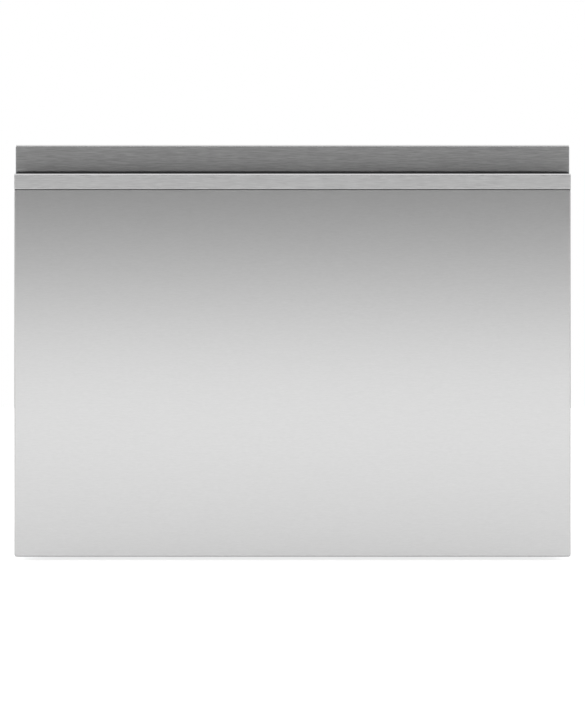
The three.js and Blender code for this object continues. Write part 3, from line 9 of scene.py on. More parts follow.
import bmesh
import bpy
import numpy as np
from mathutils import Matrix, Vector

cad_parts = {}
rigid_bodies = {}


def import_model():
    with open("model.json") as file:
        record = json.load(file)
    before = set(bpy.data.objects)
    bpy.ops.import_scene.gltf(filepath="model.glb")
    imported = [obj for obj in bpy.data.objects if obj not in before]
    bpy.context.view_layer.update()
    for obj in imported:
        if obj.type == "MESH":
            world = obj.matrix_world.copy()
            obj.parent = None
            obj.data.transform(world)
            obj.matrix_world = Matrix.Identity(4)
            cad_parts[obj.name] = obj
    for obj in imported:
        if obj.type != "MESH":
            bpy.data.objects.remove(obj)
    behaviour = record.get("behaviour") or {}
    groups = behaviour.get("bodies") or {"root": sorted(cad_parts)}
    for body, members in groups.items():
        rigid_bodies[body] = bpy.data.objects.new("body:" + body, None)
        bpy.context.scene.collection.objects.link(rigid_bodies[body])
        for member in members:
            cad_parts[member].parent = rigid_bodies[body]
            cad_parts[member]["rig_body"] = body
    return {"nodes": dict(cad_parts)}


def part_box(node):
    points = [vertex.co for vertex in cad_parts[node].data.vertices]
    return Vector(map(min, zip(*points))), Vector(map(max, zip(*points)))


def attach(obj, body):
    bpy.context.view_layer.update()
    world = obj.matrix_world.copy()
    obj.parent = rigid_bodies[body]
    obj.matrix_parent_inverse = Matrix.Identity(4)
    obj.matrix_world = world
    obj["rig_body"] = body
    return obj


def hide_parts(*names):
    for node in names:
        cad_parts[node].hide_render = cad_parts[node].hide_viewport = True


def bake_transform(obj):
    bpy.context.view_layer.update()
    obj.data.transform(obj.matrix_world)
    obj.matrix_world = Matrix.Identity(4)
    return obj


MM = 0.001

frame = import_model()
nodes = frame["nodes"]
body_of_node = {name: piece["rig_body"] for name, piece in nodes.items()}
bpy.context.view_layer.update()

# %% [markdown]
# Every finish below is written with the same few helpers. Colours are the hex values that a colour picker
# shows, so one function turns them to the linear values that the shader works in. Another adds one node with
# its settings, its plain values and its links, which keeps a whole material readable in a few lines.

# %% Colour and node helpers
def linear(hex_value):
    """sRGB hex to linear RGBA: below 0.04045 divide by 12.92, above it ((c + 0.055) / 1.055) to the 2.4."""
    c = np.array([int(hex_value[i:i + 2], 16) for i in (0, 2, 4)]) / 255
    lin = np.where(c <= 0.04045, c / 12.92, ((c + 0.055) / 1.055) ** 2.4)
    return (*lin.tolist(), 1.0)


def add_node(tree, kind, values=None, links=None, **settings):
    """Adds one shader node: settings are its properties, values its plain sockets, links its joined ones."""
    made = tree.nodes.new("ShaderNode" + kind)
    for name, value in settings.items():
        setattr(made, name, value)
    for socket, value in (values or {}).items():
        made.inputs[socket].default_value = value
    for socket, source in (links or {}).items():
        tree.links.new(source, made.inputs[socket])
    return made


print("the hex grey 808080 is", round(linear("808080")[0], 3), "in linear light")


# %% Helpers for a finish
FIRST_COLOUR, SECOND_COLOUR, MIXED_COLOUR = 6, 7, 2  # the Mix node's sockets for colours, by number


def new_finish(name, colour, roughness, **shader_values):
    """A material with one Principled shader; returns the material, its tree and the shader."""
    finish = bpy.data.materials.new(name)
    finish.use_nodes = True
    tree = finish.node_tree
    shader = tree.nodes["Principled BSDF"]
    shader.inputs["Base Color"].default_value = linear(colour)
    shader.inputs["Roughness"].default_value = roughness
    for socket, value in shader_values.items():
        shader.inputs[socket.replace("_", " ")].default_value = value
    return finish, tree, shader


def grain(tree, size_mm, stretch=(1, 1, 1), detail=2.0):
    """Noise on Object coordinates whose grains are size_mm across, drawn out by stretch along x, y and z."""
    place = add_node(tree, "TexCoord")
    per_metre = [1 / (size_mm * MM * s) for s in stretch]
    scaled = add_node(tree, "Mapping", {"Scale": per_metre}, {"Vector": place.outputs["Object"]})
    return add_node(tree, "TexNoise", {"Scale": 1.0, "Detail": detail}, {"Vector": scaled.outputs["Vector"]})


def spread(tree, source, low, high, start=0.3, end=0.7):
    """Maps a noise value from start..end to low..high."""
    values = {"From Min": start, "From Max": end, "To Min": low, "To Max": high}
    return add_node(tree, "MapRange", values, {"Value": source}).outputs["Result"]


def tint(tree, factor, first, second):
    """Mixes two hex colours by a factor socket."""
    mix = add_node(tree, "Mix", data_type="RGBA", links={"Factor": factor})
    mix.inputs[FIRST_COLOUR].default_value = linear(first)
    mix.inputs[SECOND_COLOUR].default_value = linear(second)
    return mix.outputs[MIXED_COLOUR]


def relief(tree, shader, height, depth_mm):
    """Bump whose full height is depth_mm."""
    bump = add_node(tree, "Bump", {"Strength": 1.0, "Distance": depth_mm * MM}, {"Height": height})
    tree.links.new(bump.outputs["Normal"], shader.inputs["Normal"])


# %% [markdown]
# The front is 304 stainless steel sheet, brushed along its width: an abrasive belt leaves short parallel
# scratches, a few millimetres long and under a millimetre apart, that run from side to side. They smear a
# reflection up and down, so a soft light turns into a smooth vertical fade with faint dashes across it. The
# scratches are drawn as noise stretched along x, which holds on every face of the sheet, also round its
# folds. The real ones are under 0.1 mm apart, finer than a pixel, so they are drawn 0.5 to 0.6 mm apart.

# %% Brushed stainless steel
SCRATCH_DEPTH = 0.004  # mm
STREAK_FINER, STREAK_LONGER, STREAK_SHARE = 0.6, 8, 0.5  # beside the short lines run finer, longer streaks
STEEL_RANGE = 0.5, 1.0  # where the sum of lines and streaks lies


def brushed_steel(name, colours, roughness, line_mm, dash, contrast):
    """Steel with scratches line_mm apart and dash times as long; contrast widens the lines' roughness."""
    steel, tree, shader = new_finish(name, colours[0], roughness, Metallic=1.0, Anisotropic=0.4,
                                     Anisotropic_Rotation=0.25)
    lines = grain(tree, line_mm, stretch=(dash, 1, 1)).outputs["Fac"]
    streaks = grain(tree, line_mm * STREAK_FINER, stretch=(dash * STREAK_LONGER, 1, 1)).outputs["Fac"]
    both = add_node(tree, "Math", operation="MULTIPLY_ADD", links={0: streaks, 2: lines},
                    values={1: STREAK_SHARE}).outputs[0]
    tree.links.new(spread(tree, both, roughness - contrast, roughness + contrast, *STEEL_RANGE),
                   shader.inputs["Roughness"])
    tree.links.new(tint(tree, spread(tree, both, 0, 1, *STEEL_RANGE), *colours), shader.inputs["Base Color"])
    relief(tree, shader, lines, SCRATCH_DEPTH)
    return steel


skin_steel = brushed_steel("brushed_304_steel_skin", ("bababa", "c0c0c0"), 0.29, 0.6, 8, 0.015)
# the lip is rougher than the panel, which is real; its lighter colour is painted light, standing in for its
# brighter reflection
lip_steel_painted_light = brushed_steel("satin_304_steel_lip_painted_light", ("bfbfbf", "d2d2d2"), 0.42, 0.56, 18, 0.05)
# the fascia's darker colour is painted shade of the recess behind the lip
fascia_steel_painted_shade = brushed_steel("brushed_304_steel_fascia_painted_shade", ("8b8b8b", "adadad"), 0.64, 0.6, 18, 0.05)
# the folds are smoother than the face, and their lighter colour is a painted highlight
folded_edge_painted_highlight = brushed_steel("burnished_304_steel_edge_painted_highlight", ("d0d0d0", "d9d9d9"), 0.2, 0.5, 18, 0.02)
print("steel:", skin_steel.name, lip_steel_painted_light.name, fascia_steel_painted_shade.name, folded_edge_painted_highlight.name)

# %% [markdown]
# The chassis is galvanised sheet: hot-dipped zinc sets in flat crystals, the spangle, some 6 mm across, each
# a shade lighter or darker than the next. Runners are bright zinc-plated and rolled, with no spangle.

# %% Galvanised sheet and zinc plate
SPANGLE = 6.0
galvanised, tree, shader = new_finish("galvanised_steel_sheet", "b4b8ba", 0.42, Metallic=1.0)
place = add_node(tree, "TexCoord")
spangle = add_node(tree, "TexVoronoi", {"Scale": 1 / (SPANGLE * MM), "Randomness": 1.0},
                   {"Vector": place.outputs["Object"]})
shade = add_node(tree, "SeparateColor", links={"Color": spangle.outputs["Color"]}).outputs["Red"]
tree.links.new(tint(tree, shade, "acb0b3", "babec0"), shader.inputs["Base Color"])
tree.links.new(spread(tree, shade, 0.36, 0.48, 0, 1), shader.inputs["Roughness"])

zinc_plate, tree, shader = new_finish("bright_zinc_plated_steel", "c6c8c6", 0.28, Metallic=1.0)
rolled = grain(tree, 0.8, stretch=(1, 60, 1)).outputs["Fac"]
tree.links.new(spread(tree, rolled, 0.24, 0.34), shader.inputs["Roughness"])
print("zinc:", galvanised.name, zinc_plate.name)

# %% [markdown]
# The sheathed heater and the motor can are drawn stainless steel, plain and a little duller than the front.

# %% Drawn steel
drawn_steel, tree, shader = new_finish("drawn_stainless_steel", "b2b1ae", 0.3, Metallic=1.0)
tree.links.new(spread(tree, grain(tree, 2.0).outputs["Fac"], 0.25, 0.36), shader.inputs["Roughness"])
print("plain steel:", drawn_steel.name)

# %% [markdown]
# Plastics come from a mould with a fine spark-eroded grain. Polypropylene, the tub, is waxy and pale; ABS,
# the controls, is harder and glossier; black parts show only their soft highlights.

# %% Moulded plastics
GRAIN_CONTRAST = 0.05  # how far the grain takes the roughness up and down


def moulded_plastic(name, colour, roughness, grain_mm, depth_mm, ior):
    """A plastic with a moulded grain of grain_mm that is depth_mm deep."""
    plastic, tree, shader = new_finish(name, colour, roughness, IOR=ior)
    texture = grain(tree, grain_mm, detail=3.0).outputs["Fac"]
    shiny, dull = roughness - GRAIN_CONTRAST, roughness + GRAIN_CONTRAST
    tree.links.new(spread(tree, texture, shiny, dull), shader.inputs["Roughness"])
    relief(tree, shader, texture, depth_mm)
    return plastic


black_abs = moulded_plastic("moulded_black_abs", "1c1d1e", 0.42, 0.9, 0.02, ior=1.54)
dark_nylon = moulded_plastic("moulded_dark_grey_nylon", "3a3c3f", 0.48, 1.1, 0.03, ior=1.53)
grey_abs = moulded_plastic("moulded_grey_abs", "8b9096", 0.38, 0.9, 0.02, ior=1.54)
tub_polypropylene = moulded_plastic("grey_polypropylene_tub", "c6cacd", 0.4, 1.6, 0.03, ior=1.49)
print("plastics:", black_abs.name, dark_nylon.name, grey_abs.name, tub_polypropylene.name)

# %% [markdown]
# Rack wire is steel dipped in nylon powder, which melts to a smooth, slightly uneven coat that softens the
# welds. The seal is black EPDM, dull and soft; the hoses are grey rubbery PVC with a faint sheen.

# %% Coated wire and rubber
nylon_coat, tree, shader = new_finish("nylon_coated_wire", "989ea2", 0.36, IOR=1.53)
relief(tree, shader, grain(tree, 5.0).outputs["Fac"], 0.15)

seal_epdm = moulded_plastic("black_epdm_seal", "232425", 0.68, 0.7, 0.02, ior=1.52)
hose_pvc = moulded_plastic("grey_pvc_hose", "55595d", 0.5, 1.4, 0.03, ior=1.54)
wire_sleeve = moulded_plastic("black_cable_sleeve", "222325", 0.6, 0.8, 0.03, ior=1.5)
print(sum(1 for m in bpy.data.materials if m.use_nodes), "materials in the file")

# %% [markdown]
# Real sheet metal and mouldings have no knife edges: a folded edge is round, and a moulded one has a small
# radius. That line of light along an edge is what makes a part look made. Each CAD piece is loose triangles,
# so a copy is merged first, flat areas are joined again, and a Bevel modifier rounds the edges that are left.

# %% Round the edges of a CAD piece
FOLD_FACING = 0.99  # a face of a fold looks along no axis, so each part of its normal is under this
MERGE_WITHIN = 0.02  # mm
FLAT_WITHIN = 0.6  # degrees


def dressed(name, material, edge_mm, segments=2, smooth_deg=32, fold_material=None, drawn=None):
    """Stands a merged copy, or a drawn mesh, in for a CAD node: edges sharper than smooth_deg get a radius,
    and with a fold_material the faces of the folds wear that."""
    mesh = drawn or nodes[name].data.copy()
    mesh.name = name + "_look"
    work = bmesh.new()
    work.from_mesh(mesh)
    bmesh.ops.remove_doubles(work, verts=work.verts, dist=MERGE_WITHIN * MM)
    bmesh.ops.dissolve_limit(work, angle_limit=np.radians(FLAT_WITHIN), verts=work.verts, edges=work.edges)
    limit = np.radians(smooth_deg)
    for edge in work.edges:
        edge.smooth = edge.is_manifold and edge.calc_face_angle(0) < limit
    for face in work.faces:
        face.smooth = True
    work.to_mesh(mesh)
    work.free()
    mesh.materials.clear()
    mesh.materials.append(material)
    if fold_material:
        mesh.materials.append(fold_material)
        for face in mesh.polygons:
            face.material_index = int(max(abs(n) for n in face.normal) < FOLD_FACING)
    piece = bpy.data.objects.new(name + "_look", mesh)
    bpy.context.scene.collection.objects.link(piece)
    bevel = piece.modifiers.new("edge_radius", "BEVEL")
    bevel.width = edge_mm * MM
    bevel.segments = segments
    bevel.limit_method = "ANGLE"
    bevel.angle_limit = limit
    bevel.use_clamp_overlap = True
    flatten = piece.modifiers.new("flat_faces_stay_flat", "WEIGHTED_NORMAL")
    flatten.mode = "FACE_AREA"
    flatten.weight = 100
    flatten.keep_sharp = True
    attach(piece, body_of_node[name])
    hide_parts(name)
    return piece


# %% [markdown]
# The chassis parts are 1 mm sheet, so their edges get a radius of about 0.3 mm; the mouldings get 0.5 to
# 0.8 mm, a little more where a hand or a wet seal touches them.

# %% Dress the sheet metal and the mouldings
edge_plan = [
    (galvanised, 0.35, ["side_panel_left", "side_panel_right", "top_panel", "base_tray", "rear_panel"]),
    (zinc_plate, 0.3, ["outer_runner_left", "outer_runner_right", "middle_runner_left",
                       "middle_runner_right", "inner_runner_left", "inner_runner_right"]),
    (black_abs, 0.6, ["foot_front_left", "foot_front_right", "foot_rear_left", "foot_rear_right",
                      "power_inlet", "recess_channel", "control_panel", "controller_box"]),
    (dark_nylon, 0.6, ["drain_outlet", "front_backing", "sump_housing", "drain_filter", "rinse_aid_cap",
                       "lid_actuator_left", "lid_actuator_right"]),
    (grey_abs, 0.5, ["water_inlet_valve", "power_button", "program_button", "delay_button",
                     "start_button", "wash_rotor", "filter_plate", "spray_arm", "dispenser_body",
                     "cutlery_basket", "basket_handle"]),
    (tub_polypropylene, 0.8, ["tub", "lid", "detergent_door"]),
    (seal_epdm, 0.8, ["lid_seal"]),
    (drawn_steel, 0.5, ["wash_motor", "heater_element"]),
]
dressed_pieces = {name: dressed(name, material, edge_mm)
                  for material, edge_mm, names in edge_plan for name in names}
print(len(dressed_pieces), "pieces dressed")

# %% [markdown]
# The front is three pieces of steel: a big tray-shaped panel, a rounded lip under the fingers and the fascia
# behind it. Their folds are what the light catches. Hands and the press burnish a fold, so it is smoother than
# the brushed face; the folds' lighter colour is a painted highlight. The lip's steel is rougher than the
# panel's and painted lighter, which is painted light, and the fascia's steel is painted darker, which is
# painted shade of the recess. The lip is drawn again here, because its top is one round sweep of 2.2 mm.

# %% The pull lip
LIP_THICKNESS, LIP_ROUND = 3.5, 2.2
LIP_FOOT, LIP_FOOT_HEIGHT, LIP_CORNER = 19.5, 2.0, 2.0


def lip_section(front, bottom, top):
    """The lip from its end, as y and z: a quarter circle y = front + r - r cos a, z = top - r + r sin a on
    the front edge, a straight back, and a foot that runs back from a sloped corner."""
    a = np.linspace(0, np.pi / 2, 11)
    arc = np.stack([front + LIP_ROUND * (1 - np.cos(a)), top - LIP_ROUND * (1 - np.sin(a))], axis=1)
    back = front + LIP_THICKNESS
    foot = bottom + LIP_FOOT_HEIGHT
    rest = [(back, top), (back, foot + LIP_CORNER), (back + LIP_CORNER, foot),
            (front + LIP_FOOT, foot), (front + LIP_FOOT, bottom), (front, bottom)]
    return np.concatenate([arc, rest])


def extruded(name, section, x_from, x_to):
    """A closed bar along x with the section of y and z points, all in mm; both ends are flat."""
    count = len(section)
    points = [(x, y, z) for x in (x_from, x_to) for y, z in section]
    sides = [(i, (i + 1) % count, count + (i + 1) % count, count + i) for i in range(count)]
    ends = [tuple(reversed(range(count))), tuple(range(count, 2 * count))]
    mesh = bpy.data.meshes.new(name)
    mesh.from_pydata((np.array(points) * MM).tolist(), [], sides + ends)
    work = bmesh.new()
    work.from_mesh(mesh)
    bmesh.ops.recalc_face_normals(work, faces=work.faces)
    work.to_mesh(mesh)
    work.free()
    return mesh


lip_low, lip_high = (np.array(corner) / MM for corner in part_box("handle_lip"))
lip_bar = extruded("lip_bar", lip_section(lip_low[1], lip_low[2], lip_high[2]), lip_low[0], lip_high[0])
dressed("handle_lip", lip_steel_painted_light, 0.4, 2, fold_material=folded_edge_painted_highlight, drawn=lip_bar)
print("lip", len(lip_bar.polygons), "faces, its foot", LIP_FOOT, "mm deep")

# %% The panel and the fascia
skin_look = dressed("front_skin", skin_steel, 0.4, 3)
fascia_look = dressed("recess_fascia", fascia_steel_painted_shade, 0.5, 3, fold_material=folded_edge_painted_highlight)
print("panel", len(skin_look.data.polygons), "faces, fascia", len(fascia_look.data.polygons), "faces")

# %% [markdown]
# The racks are bent wire, 4 mm thick and dipped in nylon, which leaves each wire round with a soft round end
# and a small swelling at each weld. A wire is a circle carried along a line: the surface has one parameter
# along the wire and one round it. Each part of a rack is then one mesh of many such tubes.

# %% Rings
def ring_faces(rings, sides):
    """Faces of a surface made of rings of equally many points: quads from each ring to the next, and a cap on
    the first and the last ring."""
    row, col = np.meshgrid(np.arange(rings - 1) * sides, np.arange(sides), indexing="ij")
    after = (col + 1) % sides
    quads = np.stack([row + col, row + after, row + sides + after, row + sides + col], -1).reshape(-1, 4)
    last = (rings - 1) * sides
    return quads.tolist() + [list(range(sides))[::-1], [last + i for i in range(sides)]]


def frames_along(points):
    """Unit tangent and two unit normals at each point. Each normal is the one before it with the part along
    the new tangent taken off, so the frame never twists; the second normal is their cross product."""
    tangent = np.gradient(points, axis=0)
    tangent /= np.linalg.norm(tangent, axis=1, keepdims=True)
    normal = np.empty_like(tangent)
    last = np.cross(tangent[0], np.eye(3)[np.argmin(np.abs(tangent[0]))])
    for i, along in enumerate(tangent):
        last = last - (last @ along) * along
        last = last / np.linalg.norm(last)
        normal[i] = last
    return tangent, normal, np.cross(tangent, normal)


print("three rings of 14 points make", len(ring_faces(3, 14)), "faces")

# %% Tubes
END_TURNS = 12, 38, 64  # degrees; the rings of a wire's round end
END_FLAT = 0.6  # the end is this much of a half ball


def tube(points, radius, sides=14):
    """Tube surface: P(i, a) = point_i + r_i (cos a normal_i + sin a binormal_i), closed by a small round end.
    Radius is one number or one for each point."""
    points = np.asarray(points, float)
    radii = np.broadcast_to(np.asarray(radius, float), len(points)).copy()
    tangent, normal, binormal = frames_along(points)
    turn = np.radians(END_TURNS)
    start = points[0] - tangent[0] * (radii[0] * np.cos(turn))[:, None] * END_FLAT
    end = points[-1] + tangent[-1] * (radii[-1] * np.cos(turn[::-1]))[:, None] * END_FLAT
    points = np.vstack([start, points, end])
    radii = np.concatenate([radii[0] * np.sin(turn), radii, radii[-1] * np.sin(turn[::-1])])
    normal, binormal = (np.vstack([[a[0]] * len(turn), a, [a[-1]] * len(turn)]) for a in (normal, binormal))
    angle = np.arange(sides) * 2 * np.pi / sides
    ring = (np.cos(angle)[None, :, None] * normal[:, None] + np.sin(angle)[None, :, None] * binormal[:, None])
    verts = (points[:, None] + ring * radii[:, None, None]).reshape(-1, 3)
    return verts, ring_faces(len(points), sides)


print("a wire has", len(tube([(0, 0, 0), (0, 0, 50), (0, 0, 100)], 2.0)[1]), "faces")

# %% Straight wires and welds
WIRE = 2.0  # radius


def straight(start, end, radius=WIRE, sides=14):
    """A straight wire between two points in mm; its round ends lie inside that length."""
    start, end = np.array(start, float), np.array(end, float)
    inset = (end - start) / np.linalg.norm(end - start) * END_FLAT * radius
    return tube(np.linspace(start + inset, end - inset, 3), radius, sides)


def weld(at, radius=2.7, sides=8):
    """The nylon gathers round a weld: a small ball, x = r sin t cos a, y = r sin t sin a, z = r cos t."""
    polar = np.radians([20, 55, 90, 125, 160])
    angle = np.arange(sides) * 2 * np.pi / sides
    ring = np.stack([np.outer(np.sin(polar), np.cos(angle)), np.outer(np.sin(polar), np.sin(angle)),
                     np.repeat(np.cos(polar)[:, None], sides, 1)], -1) * radius
    verts = ring.reshape(-1, 3) + np.array(at)
    return verts, ring_faces(len(polar), sides)


print("a weld has", len(weld((0, 0, 0))[1]), "faces")

# %% [markdown]
# The base rack: nine wires run front to back, seven run across on top of them, and four moulded feet carry
# them. Real racks are welded flat from straight wire, so straight tubes and small balls are all it needs. The
# outline, the levels and the tine rows come from the CAD boxes of the rack's pieces.

# %% Places in the rack
STACK = WIRE * 1.65  # crossing wires sink a little into each other where they are welded
RACK_HEIGHT, HOOP_SHARE, FRONT_SINKS = 115, 0.45, 1.7
TINE_PITCH, TINE_MARGIN, TINES, ROWS = 33, 8, 10, 4
CLIPPED = 2.5, 6.5  # the clips stand between these tines
MOVING_GAP = 0.3  # between wires that turn past each other


def box_mm(node):
    """Lowest and highest corner of a CAD node in mm."""
    low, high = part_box(node)
    return np.array(low) / MM, np.array(high) / MM


def middle_mm(node):
    """Middle of a CAD node in mm, to 0.1 micrometre."""
    return np.round(sum(box_mm(node)) / 2, 4)


floor_low, floor_high = box_mm("rack_floor")
side_low, side_high = box_mm("rack_side_right")
front_low, front_high = box_mm("rack_front")
tine_low, tine_high = box_mm("tine_row_1")
RACK_LEVEL = front_low[2] + FRONT_SINKS
RACK_TOP = RACK_LEVEL + RACK_HEIGHT
RACK_MIDDLE = RACK_LEVEL + RACK_HEIGHT * HOOP_SHARE
half_x = floor_high[0]
ends_y = (floor_low[1] + WIRE, floor_high[1] - WIRE)
row_x = [middle_mm(f"tine_row_{number}")[0] for number in range(1, ROWS + 1)]
clip_y = [tine_low[1] + TINE_MARGIN + TINE_PITCH * k for k in CLIPPED]
base_level = RACK_LEVEL + 2 * WIRE + MOVING_GAP
print("tine rows at x =", np.round(row_x, 1).tolist(), "mm")

# %% The base rack
LONG_WIRES, CROSS_WIRES = 9, 5


def one_mesh(name, parts, material, body, stands_for=(), smooth_deg=50):
    """Puts (vertices in mm, faces) parts into one mesh, turns all faces outwards and rides it on a body."""
    verts, faces, offset = [], [], 0
    for part_verts, part_faces in parts:
        verts.append(np.asarray(part_verts, float))
        faces += [[i + offset for i in face] for face in part_faces]
        offset += len(part_verts)
    mesh = bpy.data.meshes.new(name)
    mesh.from_pydata((np.vstack(verts) * MM).tolist(), [], faces)
    work = bmesh.new()
    work.from_mesh(mesh)
    bmesh.ops.recalc_face_normals(work, faces=work.faces)
    for edge in work.edges:
        edge.smooth = edge.is_manifold and edge.calc_face_angle(0) < np.radians(smooth_deg)
    for face in work.faces:
        face.smooth = True
    work.to_mesh(mesh)
    work.free()
    mesh.materials.append(material)
    piece = bpy.data.objects.new(name, mesh)
    bpy.context.scene.collection.objects.link(piece)
    if body:
        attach(piece, body)
    if stands_for:
        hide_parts(*stands_for)
    return piece


along_x = np.linspace(-half_x + WIRE, half_x - WIRE, LONG_WIRES)
across_y = [*np.linspace(*ends_y, CROSS_WIRES), *clip_y]
floor_wires = [straight((x, floor_low[1], RACK_LEVEL - STACK), (x, floor_high[1], RACK_LEVEL - STACK))
               for x in along_x]
floor_wires += [straight((-half_x, y, RACK_LEVEL), (half_x, y, RACK_LEVEL)) for y in across_y]
floor_wires += [weld((x, y, RACK_LEVEL - STACK / 2)) for x in along_x for y in across_y]
one_mesh("rack_floor_wires", floor_wires, nylon_coat, "drawer", ["rack_floor"])
print(len(floor_wires), "wires and welds in the base")

# %% Feet and clips
FOOT_HALF, FOOT_CORNER, FOOT_IN = (6, 6), 2.5, (4, 5)
CLIP_HALF, CLIP_CORNER, CLIP_HEIGHT = (5, 4), 1.5, 5


def rounded_block(centre, half, radius, levels_scales):
    """A block whose outline has round corners: rings of a rounded square, one for each (level, scale)."""
    corner = np.radians(np.arange(0, 91, 22.5))
    quarter = np.stack([np.cos(corner), np.sin(corner)], -1)
    turns = [(1, 1, 0), (-1, 1, 1), (-1, -1, 2), (1, -1, 3)]
    outline = []
    for sx, sy, k in turns:
        spun = quarter @ np.linalg.matrix_power(np.array([[0, 1], [-1, 0]]), k)
        outline.append(spun * radius + np.array([sx * (half[0] - radius), sy * (half[1] - radius)]))
    outline = np.vstack(outline)
    rings = np.array([[*(np.array(centre) + p * s), z] for z, s in levels_scales for p in outline])
    return rings, ring_faces(len(levels_scales), len(outline))


foot_rings = [(floor_low[2], 0.6), (floor_low[2] + 1.2, 0.78), (floor_low[2] + 6, 0.86),
              (RACK_LEVEL + 1.6, 1.0), (RACK_LEVEL + 2.4, 0.86)]
feet = [rounded_block((sx * (half_x - WIRE - FOOT_IN[0]), y + sy * FOOT_IN[1]), FOOT_HALF, FOOT_CORNER,
                      foot_rings)
        for sx in (-1, 1) for y, sy in ((ends_y[0], 1), (ends_y[1], -1))]
one_mesh("rack_feet", feet, grey_abs, "drawer")
clip_rings = [(RACK_LEVEL - 0.4, 0.9), (RACK_LEVEL + 0.4, 1.0), (base_level + CLIP_HEIGHT - 1, 1.0),
              (base_level + CLIP_HEIGHT, 0.86)]
clips = [rounded_block((x, y), CLIP_HALF, CLIP_CORNER, clip_rings) for x in row_x for y in clip_y]
one_mesh("tine_clips", clips, grey_abs, "drawer")
print(len(feet), "feet and", len(clips), "clips")

# %% [markdown]
# The rack's walls are three hoops of wire, bent round the corners, with uprights welded inside them. A hoop
# is a rectangle whose corners are quarter circles of 14 mm.

# %% Hoops
def hoop(half_wide, y_front, y_rear, z, corner=14.0, steps=7):
    """A closed rectangle with round corners, from the middle of its rear side round to the same place."""
    arc = np.radians(np.linspace(0, 90, steps))
    bends = []
    for cx, cy, turn in ((half_wide - corner, y_rear - corner, 90), (half_wide - corner, y_front + corner, 0),
                         (corner - half_wide, y_front + corner, -90),
                         (corner - half_wide, y_rear - corner, 180)):
        angle = np.radians(turn) - arc
        bends.append(np.stack([cx + corner * np.cos(angle), cy + corner * np.sin(angle),
                               np.full(steps, z)], -1))
    return np.vstack([[(0, y_rear, z)], *bends, [(0, y_rear, z)]])


print("a hoop is drawn through", len(hoop(200, -200, 200, 0)), "points")

# %% Walls of the rack
UPRIGHTS = 7  # along each wall, with those in the corners
OVERLAP, SIDE_OVERLAP = 1.5, 1  # how far an upright stands past the hoops, and past the top one at a side
EYE_ABOVE = 5  # the moulded eye round a cup shelf's pivot stands this far above it
RAIL_PLANE = side_high[0] - WIRE
UPRIGHT_PLANE = RAIL_PLANE - STACK
y_front, y_rear = side_low[1] + WIRE, side_high[1] - WIRE
levels = (RACK_LEVEL, RACK_MIDDLE, RACK_TOP)
side_uprights = np.linspace(y_front, y_rear, UPRIGHTS)[1:-1]
cup_posts = (side_uprights[0], side_uprights[-1])
CUP_LEVEL = side_high[2] - EYE_ABOVE
end_uprights = np.linspace(-(front_high[0] - WIRE), front_high[0] - WIRE, UPRIGHTS)

walls = [tube(hoop(RAIL_PLANE, y_front, y_rear, z), WIRE) for z in levels]
for side in (-1, 1):
    for y in side_uprights:
        top = CUP_LEVEL if y in cup_posts else RACK_TOP + SIDE_OVERLAP
        walls.append(straight((side * UPRIGHT_PLANE, y, RACK_LEVEL - OVERLAP),
                              (side * UPRIGHT_PLANE, y, top)))
        walls += [weld((side * (UPRIGHT_PLANE + STACK / 2), y, z)) for z in levels]
for y_wall, inward in ((y_front, 1), (y_rear, -1)):
    for x in end_uprights:
        y = y_wall + inward * STACK
        walls.append(straight((x, y, RACK_LEVEL - OVERLAP), (x, y, RACK_TOP + OVERLAP)))
        walls += [weld((x, y_wall + inward * STACK / 2, z)) for z in levels]
one_mesh("rack_wall_wires", walls, nylon_coat, "drawer",
         ["rack_side_left", "rack_side_right", "rack_front", "rack_rear"])
print(len(walls), "wires and welds in the walls")

# %% Eyes for the cup shelves
EYE_HALF, EYE_CORNER, EYE_BELOW, EYE_ROUND = (5, 5), 2.0, 7, 1
eye_rings = [(CUP_LEVEL - EYE_BELOW, 0.8), (CUP_LEVEL - EYE_BELOW + EYE_ROUND, 1.0),
             (CUP_LEVEL + EYE_ABOVE - EYE_ROUND, 1.0), (CUP_LEVEL + EYE_ABOVE, 0.8)]
eyes = [rounded_block((side * UPRIGHT_PLANE, y), EYE_HALF, EYE_CORNER, eye_rings)
        for side in (-1, 1) for y in cup_posts]
one_mesh("cup_shelf_pivots", eyes, grey_abs, "drawer")
print(len(eyes), "eyes")

# %% [markdown]
# Each tine row is one wire that turns in its clips, with ten tines welded to it. The cup shelves are grilles
# on the same kind of wire, held level by two legs that lean on the rack's tall posts.

# %% Tine rows
TINE, TINE_LENGTH = 1.8, 88
TINE_WELD, TINE_WELD_UP = 2.6, 1.2
tine_y = tine_low[1] + TINE_MARGIN + TINE_PITCH * np.arange(TINES)
for number, x in enumerate(row_x, 1):
    wires = [straight((x, tine_low[1], base_level), (x, tine_high[1], base_level))]
    wires += [straight((x, y, base_level), (x, y, base_level + TINE_LENGTH), TINE) for y in tine_y]
    wires += [weld((x, y, base_level + TINE_WELD_UP), TINE_WELD) for y in tine_y]
    one_mesh(f"tine_row_{number}_wires", wires, nylon_coat, f"tine_row_{number}", [f"tine_row_{number}"])
print(len(row_x), "rows of", len(tine_y), "tines")

